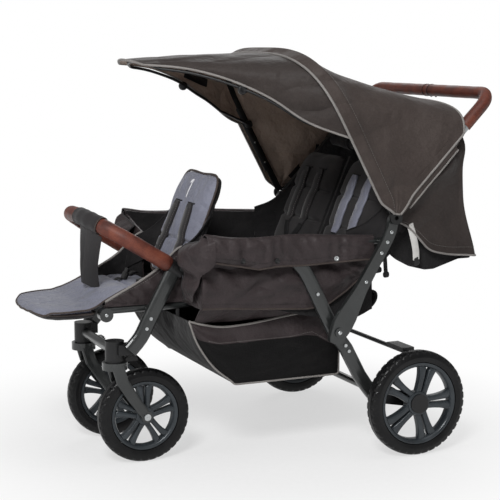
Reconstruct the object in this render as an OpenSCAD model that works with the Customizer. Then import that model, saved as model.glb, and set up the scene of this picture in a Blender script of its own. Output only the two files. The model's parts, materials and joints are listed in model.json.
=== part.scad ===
// Triple stroller: one narrow front seat ahead of a wide tub with two rear seats.
// Lengths are millimetres. The stroller faces -Y, its left side is +X, and +Z is up.
// Places along the stroller are distances ahead of the rear axle, or behind it.

/* [Rear wheels] */
// Outer diameter of a rear tyre
rear_wheel_d = 285; // [275:1:295]
// Width of a rear tyre
rear_wheel_w = 44; // [40:1:46]
// Diameter where a rear tyre sits on its rim
rear_rim_d = 222; // [210:1:228]
// Diameter of a rear hub
rear_hub_d = 66; // [60:1:74]
// Length of a rear hub
rear_hub_l = 36; // [30:1:38]
// How far a rear wheel's mid-plane is outside its leg's mid-plane
rear_wheel_out = 57; // [55:1:66]
// Diameter of the rear stub axles
stub_d = 12; // [10:0.5:14]
// Diameter of a rear hub cap
hub_cap_d = 52; // [46:1:58]
// Thickness of a rear hub cap
hub_cap_t = 4; // [3:0.5:6]

/* [Front wheels] */
// Outer diameter of a front tyre
front_wheel_d = 250; // [240:1:260]
// Width of a front tyre
front_wheel_w = 40; // [36:1:42]
// Diameter where a front tyre sits on its rim
front_rim_d = 184; // [176:1:192]
// Diameter of a front hub
front_hub_d = 50; // [44:1:56]
// Length of a front hub
front_hub_l = 36; // [32:1:40]
// How far a swivel axis is inside its front leg's mid-plane
caster_in = 45; // [42:1:48]
// Distance from the rear axle to the front axles
wheelbase = 690; // [685:1:700]
// Diameter of the front axle bolts
front_axle_d = 10; // [8:0.5:12]
// Diameter of a front axle bolt's head
axle_head_d = 18; // [14:1:22]
// Height of a front axle bolt's head
axle_head_h = 4; // [3:0.5:6]

/* [Rims] */
// Radius of a tyre's shoulder
tyre_shoulder_r = 13; // [8:1:16]
// Depth of the rim's band
rim_t = 13; // [10:1:16]
// How much narrower than its tyre a rim is, on each side
rim_inset = 4; // [2:0.5:6]
// Number of double spokes in a rim
spoke_count = 5; // [4:1:6]
// Width of one bar of a double spoke
spoke_bar_w = 10; // [8:0.5:12]
// Width of the slot in a double spoke
spoke_slot_w = 9; // [6:0.5:11]
// Thickness of a spoke along the axle
spoke_t = 15; // [12:0.5:18]
// How far the spokes sit outboard of the wheel's mid-plane
spoke_out = 6; // [2:0.5:8]

/* [Casters] */
// Distance from a swivel axis back to its wheel's axle
caster_trail = 77; // [70:1:84]
// Diameter of a caster housing
housing_d = 50; // [46:1:54]
// Height of a caster housing
housing_h = 56; // [50:1:62]
// Height of a caster housing's underside above the front tyres
housing_lift = 25; // [23:1:30]
// Diameter of a fork stem
stem_d = 14; // [12:0.5:16]
// Length of a fork stem
stem_l = 44; // [38:1:46]
// Diameter of a fork crown
crown_d = 66; // [64:1:70]
// Height of a fork crown
crown_h = 20; // [17:1:21]
// Gap between a front tyre and a fork blade
fork_gap = 3.5; // [2:0.5:5]
// Thickness of a fork blade
blade_t = 9; // [7:0.5:10]
// Width of a fork blade
blade_w = 30; // [26:1:34]
// Length of a swivel lock lever
lock_l = 26; // [22:1:30]
// Width of a swivel lock lever
lock_w = 20; // [16:1:24]
// Height of a swivel lock lever
lock_h = 12; // [9:1:14]
// Diameter of a swivel lock's pin
lock_pin_d = 5; // [4:0.5:6]

/* [Rear frame] */
// How far a rear leg's mid-plane is outside the tub
rear_leg_out = 18; // [17:0.5:19]
// Width of a rear leg, seen from the side
rear_leg_w = 38; // [34:1:42]
// Thickness of a rear leg
rear_leg_t = 22; // [20:1:23]
// How far ahead of the rear axle a rear leg's foot is
rear_foot_ahead = 90; // [86:1:94]
// Height of a rear leg's foot
rear_foot_z = 150; // [146:1:156]
// How far ahead of the rear axle a rear leg's top is
rear_top_ahead = 342; // [336:1:350]
// Height of a rear leg's top
rear_top_z = 548; // [542:1:552]
// Diameter of the rear cross tube
rear_tube_d = 20; // [18:1:24]
// How far ahead of the rear axle the rear cross tube is
rear_tube_ahead = 85; // [80:1:90]
// Height of the rear cross tube
rear_tube_z = 165; // [160:1:170]
// Thickness of a wheel bracket
bracket_t = 10; // [8:0.5:11]
// Diameter of a wheel bracket's ends
bracket_d = 40; // [36:1:44]
// Diameter of the fold pivot pins
fold_pin_d = 12; // [10:0.5:14]
// Diameter of a fold pivot's spacer
fold_spacer_d = 26; // [22:1:30]

/* [Brake] */
// Diameter of the brake bar
brake_bar_d = 12; // [10:0.5:14]
// How far behind the rear axle the brake bar is
brake_bar_behind = 42; // [36:1:48]
// Height of the brake bar
brake_bar_z = 250; // [244:1:256]
// How far a brake arm is inside its rear leg's mid-plane
brake_arm_in = 33; // [30:1:38]
// Thickness of a brake arm
brake_arm_t = 9; // [7:0.5:11]
// Outer diameter of a brake arm's sleeve
brake_sleeve_d = 32; // [28:1:36]
// Length of the brake pedal along the bar
pedal_l = 90; // [70:1:110]
// Depth of the brake pedal
pedal_w = 36; // [30:1:44]
// Thickness of the brake pedal
pedal_t = 9; // [7:0.5:12]
// Distance from the middle of the stroller to the middle of the pedal
pedal_x = 205; // [190:1:215]

/* [Front frame] */
// How far a front leg's mid-plane is outside the front seat
front_leg_out = 23; // [21:1:26]
// Width of a front leg, seen from the side
front_leg_w = 40; // [36:1:44]
// Thickness of a front leg
front_leg_t = 22; // [20:1:24]
// How far ahead of the rear axle a front leg's foot is
front_foot_ahead = 741; // [736:1:746]
// How far ahead of the rear axle a front leg's top is
front_top_ahead = 622; // [618:1:626]
// Height of a front leg's top
front_top_z = 506; // [502:1:508]
// Diameter of the front cross tube
front_tube_d = 26; // [22:1:30]

/* [Seat frame] */
// How far a seat rail is inside the front seat's outer face
seat_rail_in = 7; // [6:0.5:8]
// Diameter of a seat rail
seat_rail_d = 18; // [16:1:18]
// Height of the seat rails
seat_rail_z = 414; // [413:1:414]
// Diameter of the seat frame's cross tube
seat_tube_d = 20; // [18:1:22]
// How far ahead of the rear axle the leg rest's hinge is
leg_hinge_ahead = 797; // [792:1:800]
// How far below the seat rails the leg rest's hinge is
leg_hinge_drop = 9; // [8:1:12]
// Diameter of a leg rest hinge's disc
leg_disc_d = 36; // [32:1:36]
// Thickness of a leg rest hinge's disc
leg_disc_t = 26; // [22:1:28]
// Diameter of a leg rest hinge's pin
leg_pin_d = 10; // [8:0.5:12]
// Diameter of a top rail
top_rail_d = 18; // [16:1:19]
// Height of the top rails
top_rail_z = 578; // [576:1:580]
// How far ahead of the rear axle a top rail's rear end is
top_rail_end_ahead = 80; // [78:1:84]

/* [Bumper bar] */
// Outer diameter of the bumper bar's cover
bumper_d = 42; // [38:1:44]
// Reach of the bumper bar along its slope
bumper_reach = 222; // [210:1:236]
// Slope of the bumper bar
bumper_slope = 32.2; // [30:0.2:34]
// How far ahead of the rear axle the bumper bar's cover ends
bumper_end_ahead = 630; // [628:1:634]
// Height of the bumper bar's cover ends
bumper_end_z = 528; // [526:1:532]
// Diameter of the bumper bar's pins
bumper_pin_d = 16; // [14:0.5:18]
// Length of a bumper socket
socket_l = 40; // [36:1:41]
// Outer diameter of a bumper socket
socket_d = 36; // [34:1:38]
// Diameter of a release button
button_d = 10; // [9:0.5:11]
// How far a release button stands out
button_out = 4; // [3:0.5:5]

/* [Handle] */
// How far a handle plate's inner face is outside its rear leg's mid-plane
plate_out = 20; // [19.5:0.5:21]
// Thickness of a handle plate
plate_t = 16; // [14:1:18]
// Width of a handle plate
plate_w = 36; // [32:1:40]
// How far ahead of the rear axle the hood's pivot is
hood_pivot_ahead = 62; // [60:1:66]
// Height of the hood's pivot
hood_pivot_z = 642; // [640:1:648]
// Backward lean of the upper handle from the vertical
handle_lean = 44.4; // [43:0.2:46]
// Outer diameter of a handle sleeve
sleeve_d = 30; // [29:0.5:31]
// Length of a handle sleeve
sleeve_l = 238; // [230:1:244]
// Outer diameter of the collar at a sleeve's top
sleeve_collar_d = 36; // [35:0.5:37]
// Diameter of the telescopic handle tube
handle_tube_d = 25; // [22:0.5:26]
// Distance along the handle from the hood's pivot to the crossbar
handle_l = 447; // [440:1:456]
// Radius of the handle's bends
handle_bend_r = 48; // [44:1:56]
// Outer diameter of the grip
grip_d = 34; // [32:0.5:36]
// Distance along the handle from the hood's pivot to the grip's ends
grip_from = 326; // [320:1:334]

/* [Hood] */
// Height of the main bow along its lean
bow_h = 490; // [480:1:500]
// Height of the straight part of the main bow's legs
bow_leg_h = 250; // [245:1:256]
// Forward lean of the main bow from the vertical
bow_lean = 28; // [26:0.5:30]
// Width of the main bow's strip
bow_w = 20; // [16:1:24]
// Thickness of the main bow's strip
bow_t = 5; // [4:0.5:5]
// Diameter of the hood's pivot pins
hood_pin_d = 12; // [10:0.5:14]
// Diameter of a hood knob
hood_knob_d = 36; // [32:1:40]
// Thickness of a hood knob
hood_knob_t = 6; // [4:0.5:8]
// How far ahead of the rear axle the visor's tip is
visor_tip_ahead = 690; // [680:1:700]
// Height of the visor's tip
visor_tip_z = 1054; // [1046:1:1060]
// Width of the visor's front edge
visor_nose_w = 190; // [150:2:240]
// Diameter of the visor bow
visor_bow_d = 7; // [6:0.5:8]
// Distance along the main bow to the visor's hinges
visor_hinge_v = 240; // [236:1:244]
// Thickness of the hood's fabric
hood_t = 3.5; // [2.5:0.5:4]
// Height of the hood's rear edge above its shoulders
hood_rear_rise = 85; // [75:1:95]
// Distance along the handle to the hood's rear shoulders
hood_rear_leg = 300; // [294:1:304]

/* [Drape] */
// Height of the drape's bottom edge
drape_bottom_z = 514; // [500:1:530]
// How far behind the rear axle the drape's bottom edge is
drape_behind = 234; // [225:1:242]
// Depth of the drape's folds
drape_fold_h = 9; // [4:1:14]
// Number of folds across the drape
drape_folds = 5; // [3:1:7]

/* [Tub] */
// Width of the tub
tub_w = 600; // [596:1:604]
// Thickness of the tub's padded fabric
tub_t = 6; // [5:0.5:7]
// How far ahead of the rear axle the tub's front wall is
tub_front_ahead = 585; // [582:1:588]
// How far ahead of the rear axle the tub's sides end
tub_rear_ahead = 108; // [106:1:112]
// Height of the tub's underside
tub_floor_z = 424; // [424:1:426]
// Height of the tub's top edge at the back
tub_top_z = 590; // [588:1:594]
// How much higher the tub's top edge is at the front
rim_rise = 26; // [16:1:30]
// Height of the rear bench above the tub's underside
bench_rise = 30; // [26:1:34]
// How far ahead of the rear axle the bench's front edge is
bench_front_ahead = 378; // [374:1:384]
// Height of the side flaps' lower edge
flap_bottom_z = 530; // [526:1:536]
// Thickness of a side flap
flap_t = 4; // [3:0.5:4.5]
// Depth of a side flap's folds
flap_fold_h = 7; // [3:1:9]

/* [Front seat] */
// Outer width of the front seat's bucket
front_seat_w = 318; // [314:1:320]
// Thickness of the front seat's bucket
front_seat_t = 6; // [5:0.5:7]
// How far ahead of the rear axle the front seat's bucket ends
front_seat_rear_ahead = 558; // [557:1:562]
// Height of the front seat's wings at the back
front_wing_z = 590; // [580:1:600]
// How far ahead of the rear axle the front backrest's hinge is
front_hinge_ahead = 576; // [574:1:578]
// Height of the front backrest's hinge
front_hinge_z = 455; // [452:1:458]
// Length of the front backrest
front_back_l = 322; // [310:1:334]
// Gap between the front backrest and the bucket's wings
front_back_gap = 7; // [6:0.5:11]
// Thickness of the front backrest
front_back_t = 38; // [34:1:42]
// Lean of the front backrest from the vertical
front_back_lean = 21.9; // [20:0.2:25]
// Diameter of the front backrest's pins
front_pin_d = 10; // [8:0.5:12]
// Length of the front cushion
front_cushion_l = 190; // [180:1:196]
// Thickness of the front cushion
front_cushion_t = 34; // [28:1:38]

/* [Rear seats] */
// How far ahead of the rear axle the rear backrests' hinge is
rear_hinge_ahead = 136; // [134:1:138]
// Height of the rear backrests' hinge
rear_hinge_z = 472; // [470:1:474]
// Length of a rear backrest
rear_back_l = 340; // [325:1:350]
// How much narrower than half the tub a rear backrest is
rear_back_gap = 10; // [8:1:24]
// Thickness of a rear backrest
rear_back_t = 38; // [34:1:40]
// Lean of the rear backrests from the vertical
rear_back_lean = 23.2; // [22:0.2:25]
// Diameter of the rear backrests' pins
rear_pin_d = 10; // [8:0.5:12]
// Length of the rear cushion
rear_cushion_l = 200; // [190:1:206]
// Thickness of the rear cushion
rear_cushion_t = 38; // [32:1:44]

/* [Leg rest] */
// Reach of the leg rest ahead of its hinge
leg_reach = 155; // [147:1:163]
// How far the leg rest stands out on each side of the front seat
leg_rest_out = 9; // [4:1:13]
// Thickness of the leg rest
leg_rest_t = 24; // [20:1:28]

/* [Basket] */
// Width of the basket
basket_w = 490; // [480:1:500]
// Thickness of the basket's fabric
basket_t = 4; // [3:0.5:5]
// How far ahead of the rear axle the basket's front hem is
basket_front_ahead = 600; // [596:1:606]
// Height of the basket's front hem
basket_hem_z = 386; // [382:1:388]
// How far ahead of the rear axle the basket's floor starts
basket_floor_ahead = 474; // [468:1:480]
// Height of the basket's floor
basket_floor_z = 209; // [204:1:216]
// How far ahead of the rear axle the basket's back is
basket_rear_ahead = 166; // [162:1:172]
// Width of a basket hanger
hanger_w = 22; // [18:1:26]

/* [Bolts] */
// Diameter of a bolt's head
bolt_d = 9; // [7:0.5:11]
// Height of a bolt's head
bolt_h = 3; // [2:0.5:4]

/* [Hidden] */
$fn = 48;

// Overrun that carries a cut past a face
cut = 2;
// Radial clearance of a shaft in its bore
run_fit = 0.05;
// Clearance between pieces that sit against each other
seat_fit = 0.3;
// Clearance of a cover over its tube
cover_fit = 0.2;
// Gap around a cushion
cushion_gap = 3;
// Clearance of a button in its pocket
button_fit = 0.15;
// Left and right of the stroller
LEFT = 1;
RIGHT = -1;

// The rear frame follows the tub's width, and the front end follows the front seat's
rear_leg_x = tub_w / 2 + rear_leg_out;
front_leg_x = front_seat_w / 2 + front_leg_out;
leg_rest_w = front_seat_w + 2 * leg_rest_out;
front_back_w = front_seat_w - 2 * (front_seat_t + front_back_gap);
rear_back_w = tub_w / 2 - tub_t - rear_back_gap;
leg_tip_ahead = leg_hinge_ahead + leg_reach;

// The origin is under the middle of the stroller's length, so the rear axle lies behind it
handle_y = handle_l * sin(handle_lean) - hood_pivot_ahead;
rear_reach = handle_y + grip_d / 2;
rear_axle_y = (leg_tip_ahead - rear_reach) / 2;

// Wheels and casters
rear_x = rear_leg_x + rear_wheel_out;
rear_axle_z = rear_wheel_d / 2;
front_x = front_leg_x - caster_in;
front_axle_z = front_wheel_d / 2;
swivel_ahead = wheelbase + caster_trail;
housing_z = front_wheel_d + housing_lift;
housing_mid_z = housing_z + housing_h / 2;
blade_x = front_wheel_w / 2 + fork_gap + blade_t / 2;
// A fork blade's line from crown to axle, as shares of its run and its drop
blade_shares = [[0, 0], [0.16, 0.3], [0.52, 0.62], [0.86, 0.88], [1, 1]];
// How wide a fork blade is at each of those places, as shares of its width
blade_w_shares = [1.1, 1.12, 1.02, 0.92, 0.9];

// Rear frame: a leg's curve in shares of its run and rise
rear_foot = [-rear_foot_ahead, rear_foot_z];
rear_top = [-rear_top_ahead, rear_top_z];
rear_leg_shares = [
    [0, 0], [0.07, 0.05], [0.214, 0.176], [0.373, 0.364],
    [0.524, 0.495], [0.73, 0.751], [0.87, 0.915], [1, 1]
];
fold_pivot_shares = [0.524, 0.495];
seat_tube_shares = [0.64, 0.64];
fold_pivot = place(rear_foot, rear_top, fold_pivot_shares);
seat_tube_at = place(rear_foot, rear_top, seat_tube_shares);

// Front frame: a leg's curve in shares of its run and rise
front_foot_share = 0.62;
front_foot = [-front_foot_ahead, housing_z + housing_h * front_foot_share];
front_top = [-front_top_ahead, front_top_z];
front_leg_shares = [[0, 0], [0.25, 0.167], [0.43, 0.37], [0.727, 0.7], [1, 1]];
seat_rail_x = front_seat_w / 2 - seat_rail_in;
leg_hinge = [-leg_hinge_ahead, seat_rail_z - leg_hinge_drop];
rail_bolt_shares = [0.5, 0.47];
rail_bolt = place(front_foot, front_top, rail_bolt_shares);

// Bumper bar
bumper_end = [-bumper_end_ahead, bumper_end_z];
bumper_dir = [-cos(bumper_slope), sin(bumper_slope)];
bumper_straight_share = 0.2;
bumper_round_share = 0.75;
bumper_rings = 24;
socket_mid = bumper_end - bumper_dir * socket_l / 2;
pin_share = 0.9;
pin_in = bumper_reach * bumper_straight_share * 0.8;

// Handle
plate_x = rear_leg_x + plate_out;
hood_pivot = [-hood_pivot_ahead, hood_pivot_z];
sleeve_x = plate_x - sleeve_collar_d / 2 + (sleeve_collar_d - sleeve_d) / 2 - seat_fit;
sleeve_from = sleeve_d / 4;
sleeve_top = sleeve_from + sleeve_l;
collar_l = sleeve_collar_d * 0.8;
pocket_depth = (sleeve_collar_d - handle_tube_d) / 2 * 0.84;
button_share = 0.7;

// Hood
bow_x = plate_x + plate_t + seat_fit + bow_t / 2;
knob_x = bow_x + bow_t / 2 + seat_fit;
bow_power_share = 0.6;
arch_leg_share = 0.4;
bow_rings = 28;
hood_foot_share = 0.18;
hood_clear = bow_w / 2 + 1.5 * seat_fit;
hood_core_share = 0.35;
hood_sag_power = 0.75;
hood_sag_share = 0.06;
visor_span_share = 0.42;
visor_bulge_share = 0.05;
visor_crest_share = 0.1;
visor_hinge = bow_point(visor_hinge_v);

// Tub
tub_x = tub_w / 2;
rim_gap = (plate_x - seat_fit) - tub_x;
flap_out_x = plate_x - 2.5 * flap_t / 4;
flap_rows = 15;
wall_rise_share = 0.17;
// The top edge's height from front to back, as shares of its rise
rim_rise_shares = [1, 0.64, 0.46, 0.46, 0.5, 0.4, 0.26, 0.13, 0];

// Grid counts of the soft forms
pad_cols = 12;
pad_rows = 13;
drape_cols = 30;
drape_rows = 8;
hood_cols = 24;
hood_rows = 6;

// Geometry helpers
function unit(v) = v / norm(v);
function lerp(a, b, t) = a + (b - a) * t;
function soft_pow(v, p) = sign(v) * pow(abs(v), p);
function place(a, b, s) = [lerp(a[0], b[0], s[0]), lerp(a[1], b[1], s[1])];
function in_side(p, x) = [x, p[0], p[1]];
function spline_at(p, i, t) = let (
    a = p[max(i - 1, 0)], b = p[i], c = p[i + 1], d = p[min(i + 2, len(p) - 1)]
) (2 * b + (c - a) * t + (2 * a - 5 * b + 4 * c - d) * t * t + (3 * b - a - 3 * c + d) * t * t * t) / 2;
function smooth(p, n) = concat(
    [for (i = [0 : len(p) - 2]) for (k = [0 : n - 1]) spline_at(p, i, k / n)], [p[len(p) - 1]]
);
function heading(path, i) = unit(path[min(i + 1, len(path) - 1)] - path[max(i - 1, 0)]);
function bow_point(v) = hood_pivot + v * [-sin(bow_lean), cos(bow_lean)];
function handle_point(v) = hood_pivot + v * [sin(handle_lean), cos(handle_lean)];
// A point of an arch: s runs from -1 to 1, from the right foot over the top to the left foot
function arch_point(s, half_w, foot, leg, top) = let (a = abs(s))
    a > arch_leg_share
        ? [sign(s) * half_w, lerp(leg, foot, (a - arch_leg_share) / (1 - arch_leg_share))]
        : let (t = 90 * (1 - a / arch_leg_share))
            [sign(s) * half_w * soft_pow(cos(t), bow_power_share),
             leg + (top - leg) * soft_pow(sin(t), bow_power_share)];

// A closed skin over rings of points
module skin(rings) {
    n = len(rings[0]);
    last = (len(rings) - 1) * n;
    sides = [
        for (i = [0 : len(rings) - 2]) for (k = [0 : n - 1])
            let (a = i * n + k, b = i * n + (k + 1) % n)
                each [[a, b, b + n], [a, b + n, a + n]]
    ];
    ends = [for (k = [1 : n - 2]) each [[0, k + 1, k], [last, last + k, last + k + 1]]];
    polyhedron([for (r = rings) each r], concat(sides, ends));
}

// A bar of rounded section along a path; up is square to the path's plane
module sweep(path, across, deep, sides, up, power = 1, shares = []) {
    skin([
        for (i = [0 : len(path) - 1])
            let (
                t = heading(path, i), s = unit(cross(t, up)), u = cross(s, t),
                w = len(shares) == 0 ? across : across * shares[i]
            ) [
                for (k = [0 : sides - 1]) let (a = 360 * k / sides)
                    path[i] + s * w / 2 * soft_pow(cos(a), power) + u * deep / 2 * soft_pow(sin(a), power)
            ]
    ]);
}

// A closed slab between an upper and a lower grid of points
module slab(upper, lower) {
    m = len(upper);
    n = len(upper[0]);
    low = m * n;
    faces = [
        for (i = [0 : m - 2]) for (j = [0 : n - 2])
            let (a = i * n + j, b = a + 1, c = a + n, d = c + 1)
                each [[a, c, d], [a, d, b], [low + a, low + d, low + c], [low + a, low + b, low + d]]
    ];
    rim = concat(
        [for (j = [0 : n - 2]) j], [for (i = [0 : m - 2]) i * n + n - 1],
        [for (j = [n - 1 : -1 : 1]) (m - 1) * n + j], [for (i = [m - 1 : -1 : 1]) i * n]
    );
    walls = [
        for (k = [0 : len(rim) - 1]) let (p = rim[k], q = rim[(k + 1) % len(rim)])
            each [[p, q, low + q], [p, low + q, low + p]]
    ];
    polyhedron(concat([for (r = upper) each r], [for (r = lower) each r]), concat(faces, walls));
}

// A stuffed pad on z = 0, from y = 0: crowned, drawn in at its sides, with sewn channels across it
module pad(w, l, t, channels = [], seams = [], taper_share = 0, cols = pad_cols, rows = pad_rows) {
    edge_share = 0.42;
    pinch_share = 0.035;
    corner_share = 0.1;
    channel_share = 0.2;
    channel_w_share = 0.09;
    function spread(k, n) = sin(90 * (2 * k / n - 1));
    function dip(at, lines) = len(lines) == 0 ? 0
        : max([for (c = lines) exp(-pow((at - c) / channel_w_share, 2))]);
    function plan(u, v) = [
        w / 2 * u * (1 - pinch_share * (1 - v * v)) * (1 - corner_share * pow(v, 8))
            * (1 - taper_share * pow(max(v, 0), 2)),
        l / 2 * (1 + v * (1 - corner_share * pow(u, 8)))
    ];
    function crown(u, v) = sqrt((1 - pow(u, 4)) * (1 - pow(v, 4)));
    function height(u, v) = t * (edge_share + (1 - edge_share) * crown(u, v)
        - channel_share * max(dip(v, channels), dip(u, seams)) * crown(u, v));
    grid = [for (i = [0 : rows]) [for (j = [0 : cols]) [spread(j, cols), spread(i, rows)]]];
    slab(
        [for (r = grid) [for (c = r) concat(plan(c[0], c[1]), [height(c[0], c[1])])]],
        [for (r = grid) [for (c = r) concat(plan(c[0], c[1]), [0])]]
    );
}

// Pieces drawn with their places measured from the rear axle
module on_axle() translate([0, rear_axle_y, 0]) children();
module side_of(s) mirror([s < 0 ? 1 : 0, 0, 0]) children();
module plate(x, t) translate([x, 0, 0]) rotate([90, 0, 90]) linear_extrude(t) children();
module rod(x0, x1, at, d) translate([x0, at[0], at[1]]) rotate([0, 90, 0]) cylinder(h = x1 - x0, d = d);
module along_handle() translate(in_side(hood_pivot, 0)) rotate([-handle_lean, 0, 0]) children();
module along_bumper() translate(in_side(bumper_end, 0)) rotate([90 - bumper_slope, 0, 0]) children();

// Wheels
module tyre(d, w, rim_d) {
    depth = (d - rim_d) / 2;
    rotate([0, 90, 0]) rotate_extrude() {
        translate([rim_d / 2, -w / 2]) square([depth - tyre_shoulder_r, w]);
        translate([rim_d / 2, tyre_shoulder_r - w / 2]) square([depth, w - 2 * tyre_shoulder_r]);
        for (s = [-1, 1])
            translate([d / 2 - tyre_shoulder_r, s * (w / 2 - tyre_shoulder_r)]) circle(tyre_shoulder_r);
    }
}
module rim(d, w, hub_d, hub_l, bore_d) {
    rim_w = w - 2 * rim_inset;
    rotate([0, 90, 0]) difference() {
        union() {
            rotate_extrude() translate([d / 2 - rim_t, -rim_w / 2]) square([rim_t, rim_w]);
            cylinder(h = hub_l, d = hub_d, center = true);
            for (k = [0 : spoke_count - 1]) rotate(360 * k / spoke_count) for (s = [-1, 1])
                translate([0, (s * (spoke_slot_w + spoke_bar_w) - spoke_bar_w) / 2, spoke_out - spoke_t / 2])
                    cube([d / 2 - rim_t / 2, spoke_bar_w, spoke_t]);
        }
        cylinder(h = hub_l + 2 * cut, d = bore_d + 2 * run_fit, center = true);
    }
}
module rear_hub(s) on_axle() side_of(s) translate([rear_x, 0, rear_axle_z]) children();
module rear_tyre(s) color("#1b1b1d") rear_hub(s) tyre(rear_wheel_d, rear_wheel_w, rear_rim_d);
module rear_rim(s) color("#484c4c")
    rear_hub(s) rim(rear_rim_d, rear_wheel_w, rear_hub_d, rear_hub_l, stub_d);
module rear_hub_cap(s) color("#151515") rear_hub(s) rotate([0, 90, 0])
    translate([0, 0, rear_hub_l / 2]) cylinder(h = hub_cap_t, d = hub_cap_d);
module front_hub(s) on_axle() side_of(s) translate([front_x, -wheelbase, front_axle_z]) children();
module front_tyre(s) color("#1b1b1d") front_hub(s) tyre(front_wheel_d, front_wheel_w, front_rim_d);
module front_rim(s) color("#484c4c")
    front_hub(s) rim(front_rim_d, front_wheel_w, front_hub_d, front_hub_l, front_axle_d);
module front_axle(s) color("#b9bcbd") front_hub(s) {
    half = blade_x + blade_t / 2 + seat_fit;
    rod(-half, half, [0, 0], front_axle_d);
    for (e = [-half - axle_head_h, half]) rod(e, e + axle_head_h, [0, 0], axle_head_d);
}

// Casters
module caster_fork(s) color("#484c4c") on_axle() translate([s * front_x, -swivel_ahead, 0]) {
    crown_z = housing_z - seat_fit - crown_h;
    from = [0, crown_z + crown_h / 2];
    to = [caster_trail, front_axle_z];
    line = [for (q = blade_shares) place(from, to, q)];
    translate([0, 0, crown_z]) cylinder(h = crown_h, d = crown_d);
    translate([0, 0, crown_z + crown_h]) cylinder(h = stem_l, d = stem_d);
    for (e = [-1, 1]) difference() {
        union() {
            sweep(
                [for (q = line) in_side(q, e * blade_x)], blade_w, blade_t, 12, [1, 0, 0], 0.6,
                blade_w_shares
            );
            rod(e * blade_x - blade_t / 2, e * blade_x + blade_t / 2, to, blade_w);
        }
        rod(e * blade_x - blade_t, e * blade_x + blade_t, to, front_axle_d + 2 * run_fit);
    }
}
module caster_housing(s) color("#3a3d3d") on_axle() side_of(s) difference() {
    lug_l = front_leg_x - front_leg_t / 2 - front_x - seat_fit;
    lug_w = front_leg_w * 0.8;
    lug_h = housing_h * 0.5;
    union() {
        translate([front_x, -swivel_ahead, housing_z]) cylinder(h = housing_h, d = housing_d);
        translate([front_x, -swivel_ahead, front_foot[1] - lug_h / 2])
            cube([lug_l, swivel_ahead - front_foot_ahead + lug_w / 2, lug_h]);
        translate([front_x - lock_w / 2, -swivel_ahead, housing_z])
            cube([lock_w, lock_hinge_y + lock_pin_d / 4, lock_h]);
        rod(front_x - lock_half, front_x + lock_half, lock_hinge, lock_pin_d);
    }
    translate([front_x, -swivel_ahead, housing_z - cut])
        cylinder(h = stem_l + 2 * cut, d = stem_d + 2 * run_fit);
}
lock_hinge_y = housing_d / 2 + lock_pin_d;
lock_hinge = [lock_hinge_y - swivel_ahead, housing_z + lock_h / 2];
lock_half = lock_w / 2 + blade_t / 2;
module swivel_lock(s) color("#161616") on_axle() side_of(s)
    translate([front_x, lock_hinge_y - swivel_ahead, housing_z]) {
        ear_t = lock_half - lock_w / 2;
        difference() {
            translate([-lock_half, lock_pin_d / 2 + seat_fit, 0]) cube([2 * lock_half, lock_l, lock_h]);
            translate([-lock_half - cut, lock_l, lock_h * 0.6])
                cube([2 * (lock_half + cut), lock_l, lock_h]);
            plate(-lock_half - cut, 2 * (lock_half + cut)) polygon([
                [0, lock_h / 2], [lock_pin_d / 2, lock_h / 2],
                [1.4 * lock_pin_d, lock_h + cut], [0, lock_h + cut]
            ]);
        }
        for (e = [LEFT, RIGHT]) side_of(e) difference() {
            union() {
                rod(lock_w / 2 + seat_fit, lock_half, [0, lock_h / 2], 2 * lock_pin_d);
                translate([lock_w / 2 + seat_fit, 0, lock_h / 2 - lock_pin_d])
                    cube([ear_t - seat_fit, lock_pin_d, 2 * lock_pin_d]);
            }
            rod(lock_w / 2 - cut, lock_half + cut, [0, lock_h / 2], lock_pin_d + 2 * run_fit);
        }
    }
module front_cross_tube() color("#484c4c") on_axle() difference() {
    rod(-front_x, front_x, [-swivel_ahead, housing_mid_z], front_tube_d);
    for (e = [-1, 1]) translate([e * front_x, -swivel_ahead, housing_z])
        cylinder(h = housing_h, d = housing_d + 2 * cover_fit);
}

// Legs
module front_leg(s) color("#484c4c") on_axle() side_of(s) difference() {
    line = smooth([for (q = front_leg_shares) place(front_foot, front_top, q)], 3);
    sweep([for (q = line) in_side(q, front_leg_x)], front_leg_w, front_leg_t, 14, [1, 0, 0], 0.6);
    socket_cut();
}
module socket_cut() translate([front_leg_x, 0, 0]) along_bumper() {
    translate([0, 0, -socket_l - socket_d / 2])
        cylinder(h = socket_l + socket_d / 2 + cut, d = socket_d + 2 * cover_fit);
    cylinder(h = bumper_d, d = bumper_d + 2 * seat_fit);
}
module rear_leg(s) color("#484c4c") on_axle() side_of(s) {
    line = smooth([for (q = rear_leg_shares) place(rear_foot, rear_top, q)], 2);
    outer = rear_leg_x + rear_leg_t / 2;
    sweep([for (q = line) in_side(q, rear_leg_x)], rear_leg_w, rear_leg_t, 14, [1, 0, 0], 0.6);
    rod(outer - rear_leg_t / 2, plate_x - seat_fit, fold_pivot, fold_spacer_d);
    rod(outer, plate_x + plate_t + seat_fit, fold_pivot, fold_pin_d);
    rod(plate_x + plate_t + seat_fit, plate_x + plate_t + fold_pin_d / 3, fold_pivot, fold_spacer_d);
    difference() {
        translate([rear_leg_x, -rear_top_ahead, rear_top_z - rear_leg_t])
            cylinder(h = top_rail_z - rear_top_z + rear_leg_t, d = top_rail_d);
        translate([rear_leg_x, -rear_top_ahead - rear_leg_w, top_rail_z]) rotate([-90, 0, 0])
            cylinder(h = 2 * rear_leg_w, d = top_rail_d + 2 * cover_fit);
    }
}
module rear_cross_tube() color("#3a3d3d") on_axle() {
    half = rear_leg_x - rear_leg_t / 2 - seat_fit;
    rod(-half, half, [-rear_tube_ahead, rear_tube_z], rear_tube_d);
}
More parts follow.
